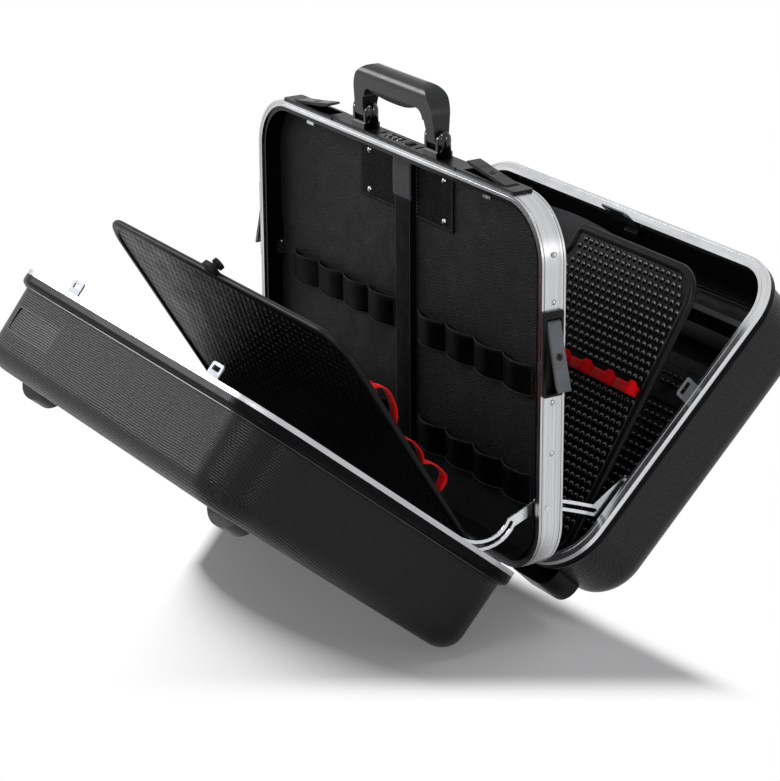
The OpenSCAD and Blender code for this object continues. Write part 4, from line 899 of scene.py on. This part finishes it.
def dial_numbers(index):
    """The ten digits round a number ring. Each ring starts three digits further on."""
    middle, pitch, axle_z, radius = -10, 8, 334.2, 5.02
    bm = bmesh.new()
    for k in range(10):
        curve = bpy.data.curves.new("number", "FONT")
        curve.body = str((k + 3 * index) % 10)
        curve.size = 3.2
        curve.extrude = 0.06
        curve.align_x, curve.align_y = "CENTER", "CENTER"
        ob = bpy.data.objects.new("number", curve)
        bpy.context.scene.collection.objects.link(ob)
        bpy.context.view_layer.update()
        mesh = bpy.data.meshes.new_from_object(ob.evaluated_get(bpy.context.evaluated_depsgraph_get()))
        mesh.transform(turn(-36 * k) @ Matrix.Translation((0, 0, radius)))
        bm.from_mesh(mesh)
        bpy.data.objects.remove(ob)
        bpy.data.curves.remove(curve)
        bpy.data.meshes.remove(mesh)
    bmesh.ops.translate(bm, vec=(middle + pitch * (index - 2), 0, axle_z), verts=bm.verts)
    piece(f"dial_{index}_numbers", bm, STAND, f"dial_{index}", MAT["number"], smooth=False)


for index in (1, 2, 3):
    dial_numbers(index)


def patch_stitches():
    """The sewn edges of the two leather patches beside the strap."""
    near, far, low, high, face = 18, 76, 272, 319, PANEL_FACE - 1.2
    threads = bmesh.new()
    for s in (-1, 1):
        corners = [(s * x, face, z) for x, z in ((near, low), (far, low), (far, high), (near, high))]
        for a, b in zip(corners, corners[1:] + corners[:1]):
            stitch(threads, a, b, (0, -1, 0))
    piece("patch_stitches", threads, STAND, "frame", MAT["thread"])


patch_stitches()


# Floor, camera and light, in metres
def shadow_patch(m):
    """Where the floor shows the case's real shadow, with a painted shadow mixed in: not in front of it,
    beyond its left end or behind it.
    """
    x, y, _ = m.split(m.place)
    in_front = m.sum(x, 0.794, y, -0.61)
    # On the left it opens as a fan from under the front shell's end
    from_x, from_y = m.math("ADD", x, 0.138), m.math("ADD", y, 0.137)
    along = m.sum(from_x, 0.715, from_y, -0.70)
    across = m.sum(from_x, 0.70, from_y, 0.715)
    fan = m.math("MAXIMUM", m.math("MULTIPLY", m.math("MULTIPLY", along, along), 3.9), 0.015)
    left = m.math("DIVIDE", across, fan, clamp=True)
    behind = m.math("SUBTRACT", m.math("MULTIPLY_ADD", x, 0.086, 0.029), y)
    near_and_left = m.math("MULTIPLY", m.span(in_front, 0.258, 0.315, 1.0, 0.0, smooth=True), left)
    return m.math("MULTIPLY", near_and_left, m.span(behind, -0.015, 0.015, smooth=True))


def floor():
    """A pale floor that keeps the shadow under the case, with a painted grey shadow mixed into it to even
    it out, and is white elsewhere.
    """
    painted_shadow_share, painted_shadow_grey, below = 0.6, 0.2, 0.0004
    bm = bmesh.new()
    bmesh.ops.create_grid(bm, x_segments=8, y_segments=8, size=6.0)
    mesh = bpy.data.meshes.new("floor")
    bm.to_mesh(mesh)
    bm.free()
    ob = bpy.data.objects.new("floor", mesh)
    bpy.context.scene.collection.objects.link(ob)
    ob.location = (0, 0, -below)
    m = Nodes("pale_floor", (0.80, 0.80, 0.81), 0.34, specular=0.35)
    m.roughness(m.noise(6, 3), 0.30, 0.38)
    m.bump(m.noise(30, 4), 0.0002, 0.3)
    shown, seen = shadow_patch(m), m.seen()
    # Painted shadow: a flat grey glow, mixed in under the case over the floor's real shadow
    flat = m.glow("ShaderNodeEmission", (painted_shadow_grey, painted_shadow_grey, painted_shadow_grey), 1.0)
    white = m.glow("ShaderNodeEmission", (1, 1, 1), 1.0)
    shadow = m.blend(m.math("MULTIPLY", m.math("MULTIPLY", shown, seen), painted_shadow_share), m.bsdf.outputs[0], flat)
    away = m.math("MULTIPLY", m.math("SUBTRACT", 1.0, shown), seen)
    out = [n for n in m.tree.nodes if n.type == "OUTPUT_MATERIAL"][0]
    m.link(m.blend(away, shadow, white), out.inputs["Surface"])
    mesh.materials.append(m.material)


floor()


def camera():
    """The photo's camera, as fitted to the frame's edges, corners and hinge line."""
    place, turned, lens = (2.098195, -1.241969, 1.115515), (68.49177, 3.02951, 58.29991), 132.13293
    data = bpy.data.cameras.new("camera")
    ob = bpy.data.objects.new("camera", data)
    bpy.context.scene.collection.objects.link(ob)
    rotation = Euler([math.radians(a) for a in turned]).to_matrix().to_4x4()
    ob.matrix_world = Matrix.Translation(place) @ rotation
    data.sensor_fit, data.sensor_width, data.lens = "HORIZONTAL", 36, lens
    data.clip_start, data.clip_end = 0.05, 30
    bpy.context.scene.camera = ob


camera()


def lamp(name, place, aim, size, power):
    """A rectangular softbox that the camera doesn't see."""
    data = bpy.data.lights.new(name, "AREA")
    data.shape, data.size, data.size_y = "RECTANGLE", *size
    data.energy = power
    ob = bpy.data.objects.new(name, data)
    bpy.context.scene.collection.objects.link(ob)
    ob.location = place
    ob.rotation_euler = (Vector(aim) - Vector(place)).to_track_quat("-Z", "Y").to_euler()
    ob.visible_camera = False


lamp("top_softbox", (0.25, -1.15, 2.0), (0, 0, 0.2), (1.0, 0.5), 20)
lamp("left_softbox", (-0.98, -0.70, 0.80), (0.1, -0.25, 0.26), (0.55, 0.36), 5.5)
lamp("front_softbox", (1.3, -2.4, 1.0), (0, -0.1, 0.2), (0.6, 0.5), 7)
lamp("side_softbox", (2.7, 1.0, 0.9), (0, 0.1, 0.2), (0.45, 0.9), 14)


def world():
    """Soft studio light all round, which looks white."""
    studio = bpy.data.worlds.new("studio")
    bpy.context.scene.world = studio
    studio.use_nodes = True
    studio.node_tree.nodes.clear()
    t = Tree(studio.node_tree)
    lit = t.glow("ShaderNodeBackground", (0.97, 0.98, 1.0), 0.45)
    white = t.glow("ShaderNodeBackground", (1, 1, 1), 1.0)
    out = t.node("ShaderNodeOutputWorld")
    t.link(t.blend(t.seen(), lit, white), out.inputs["Surface"])


world()
bpy.context.scene.view_settings.view_transform = "Standard"
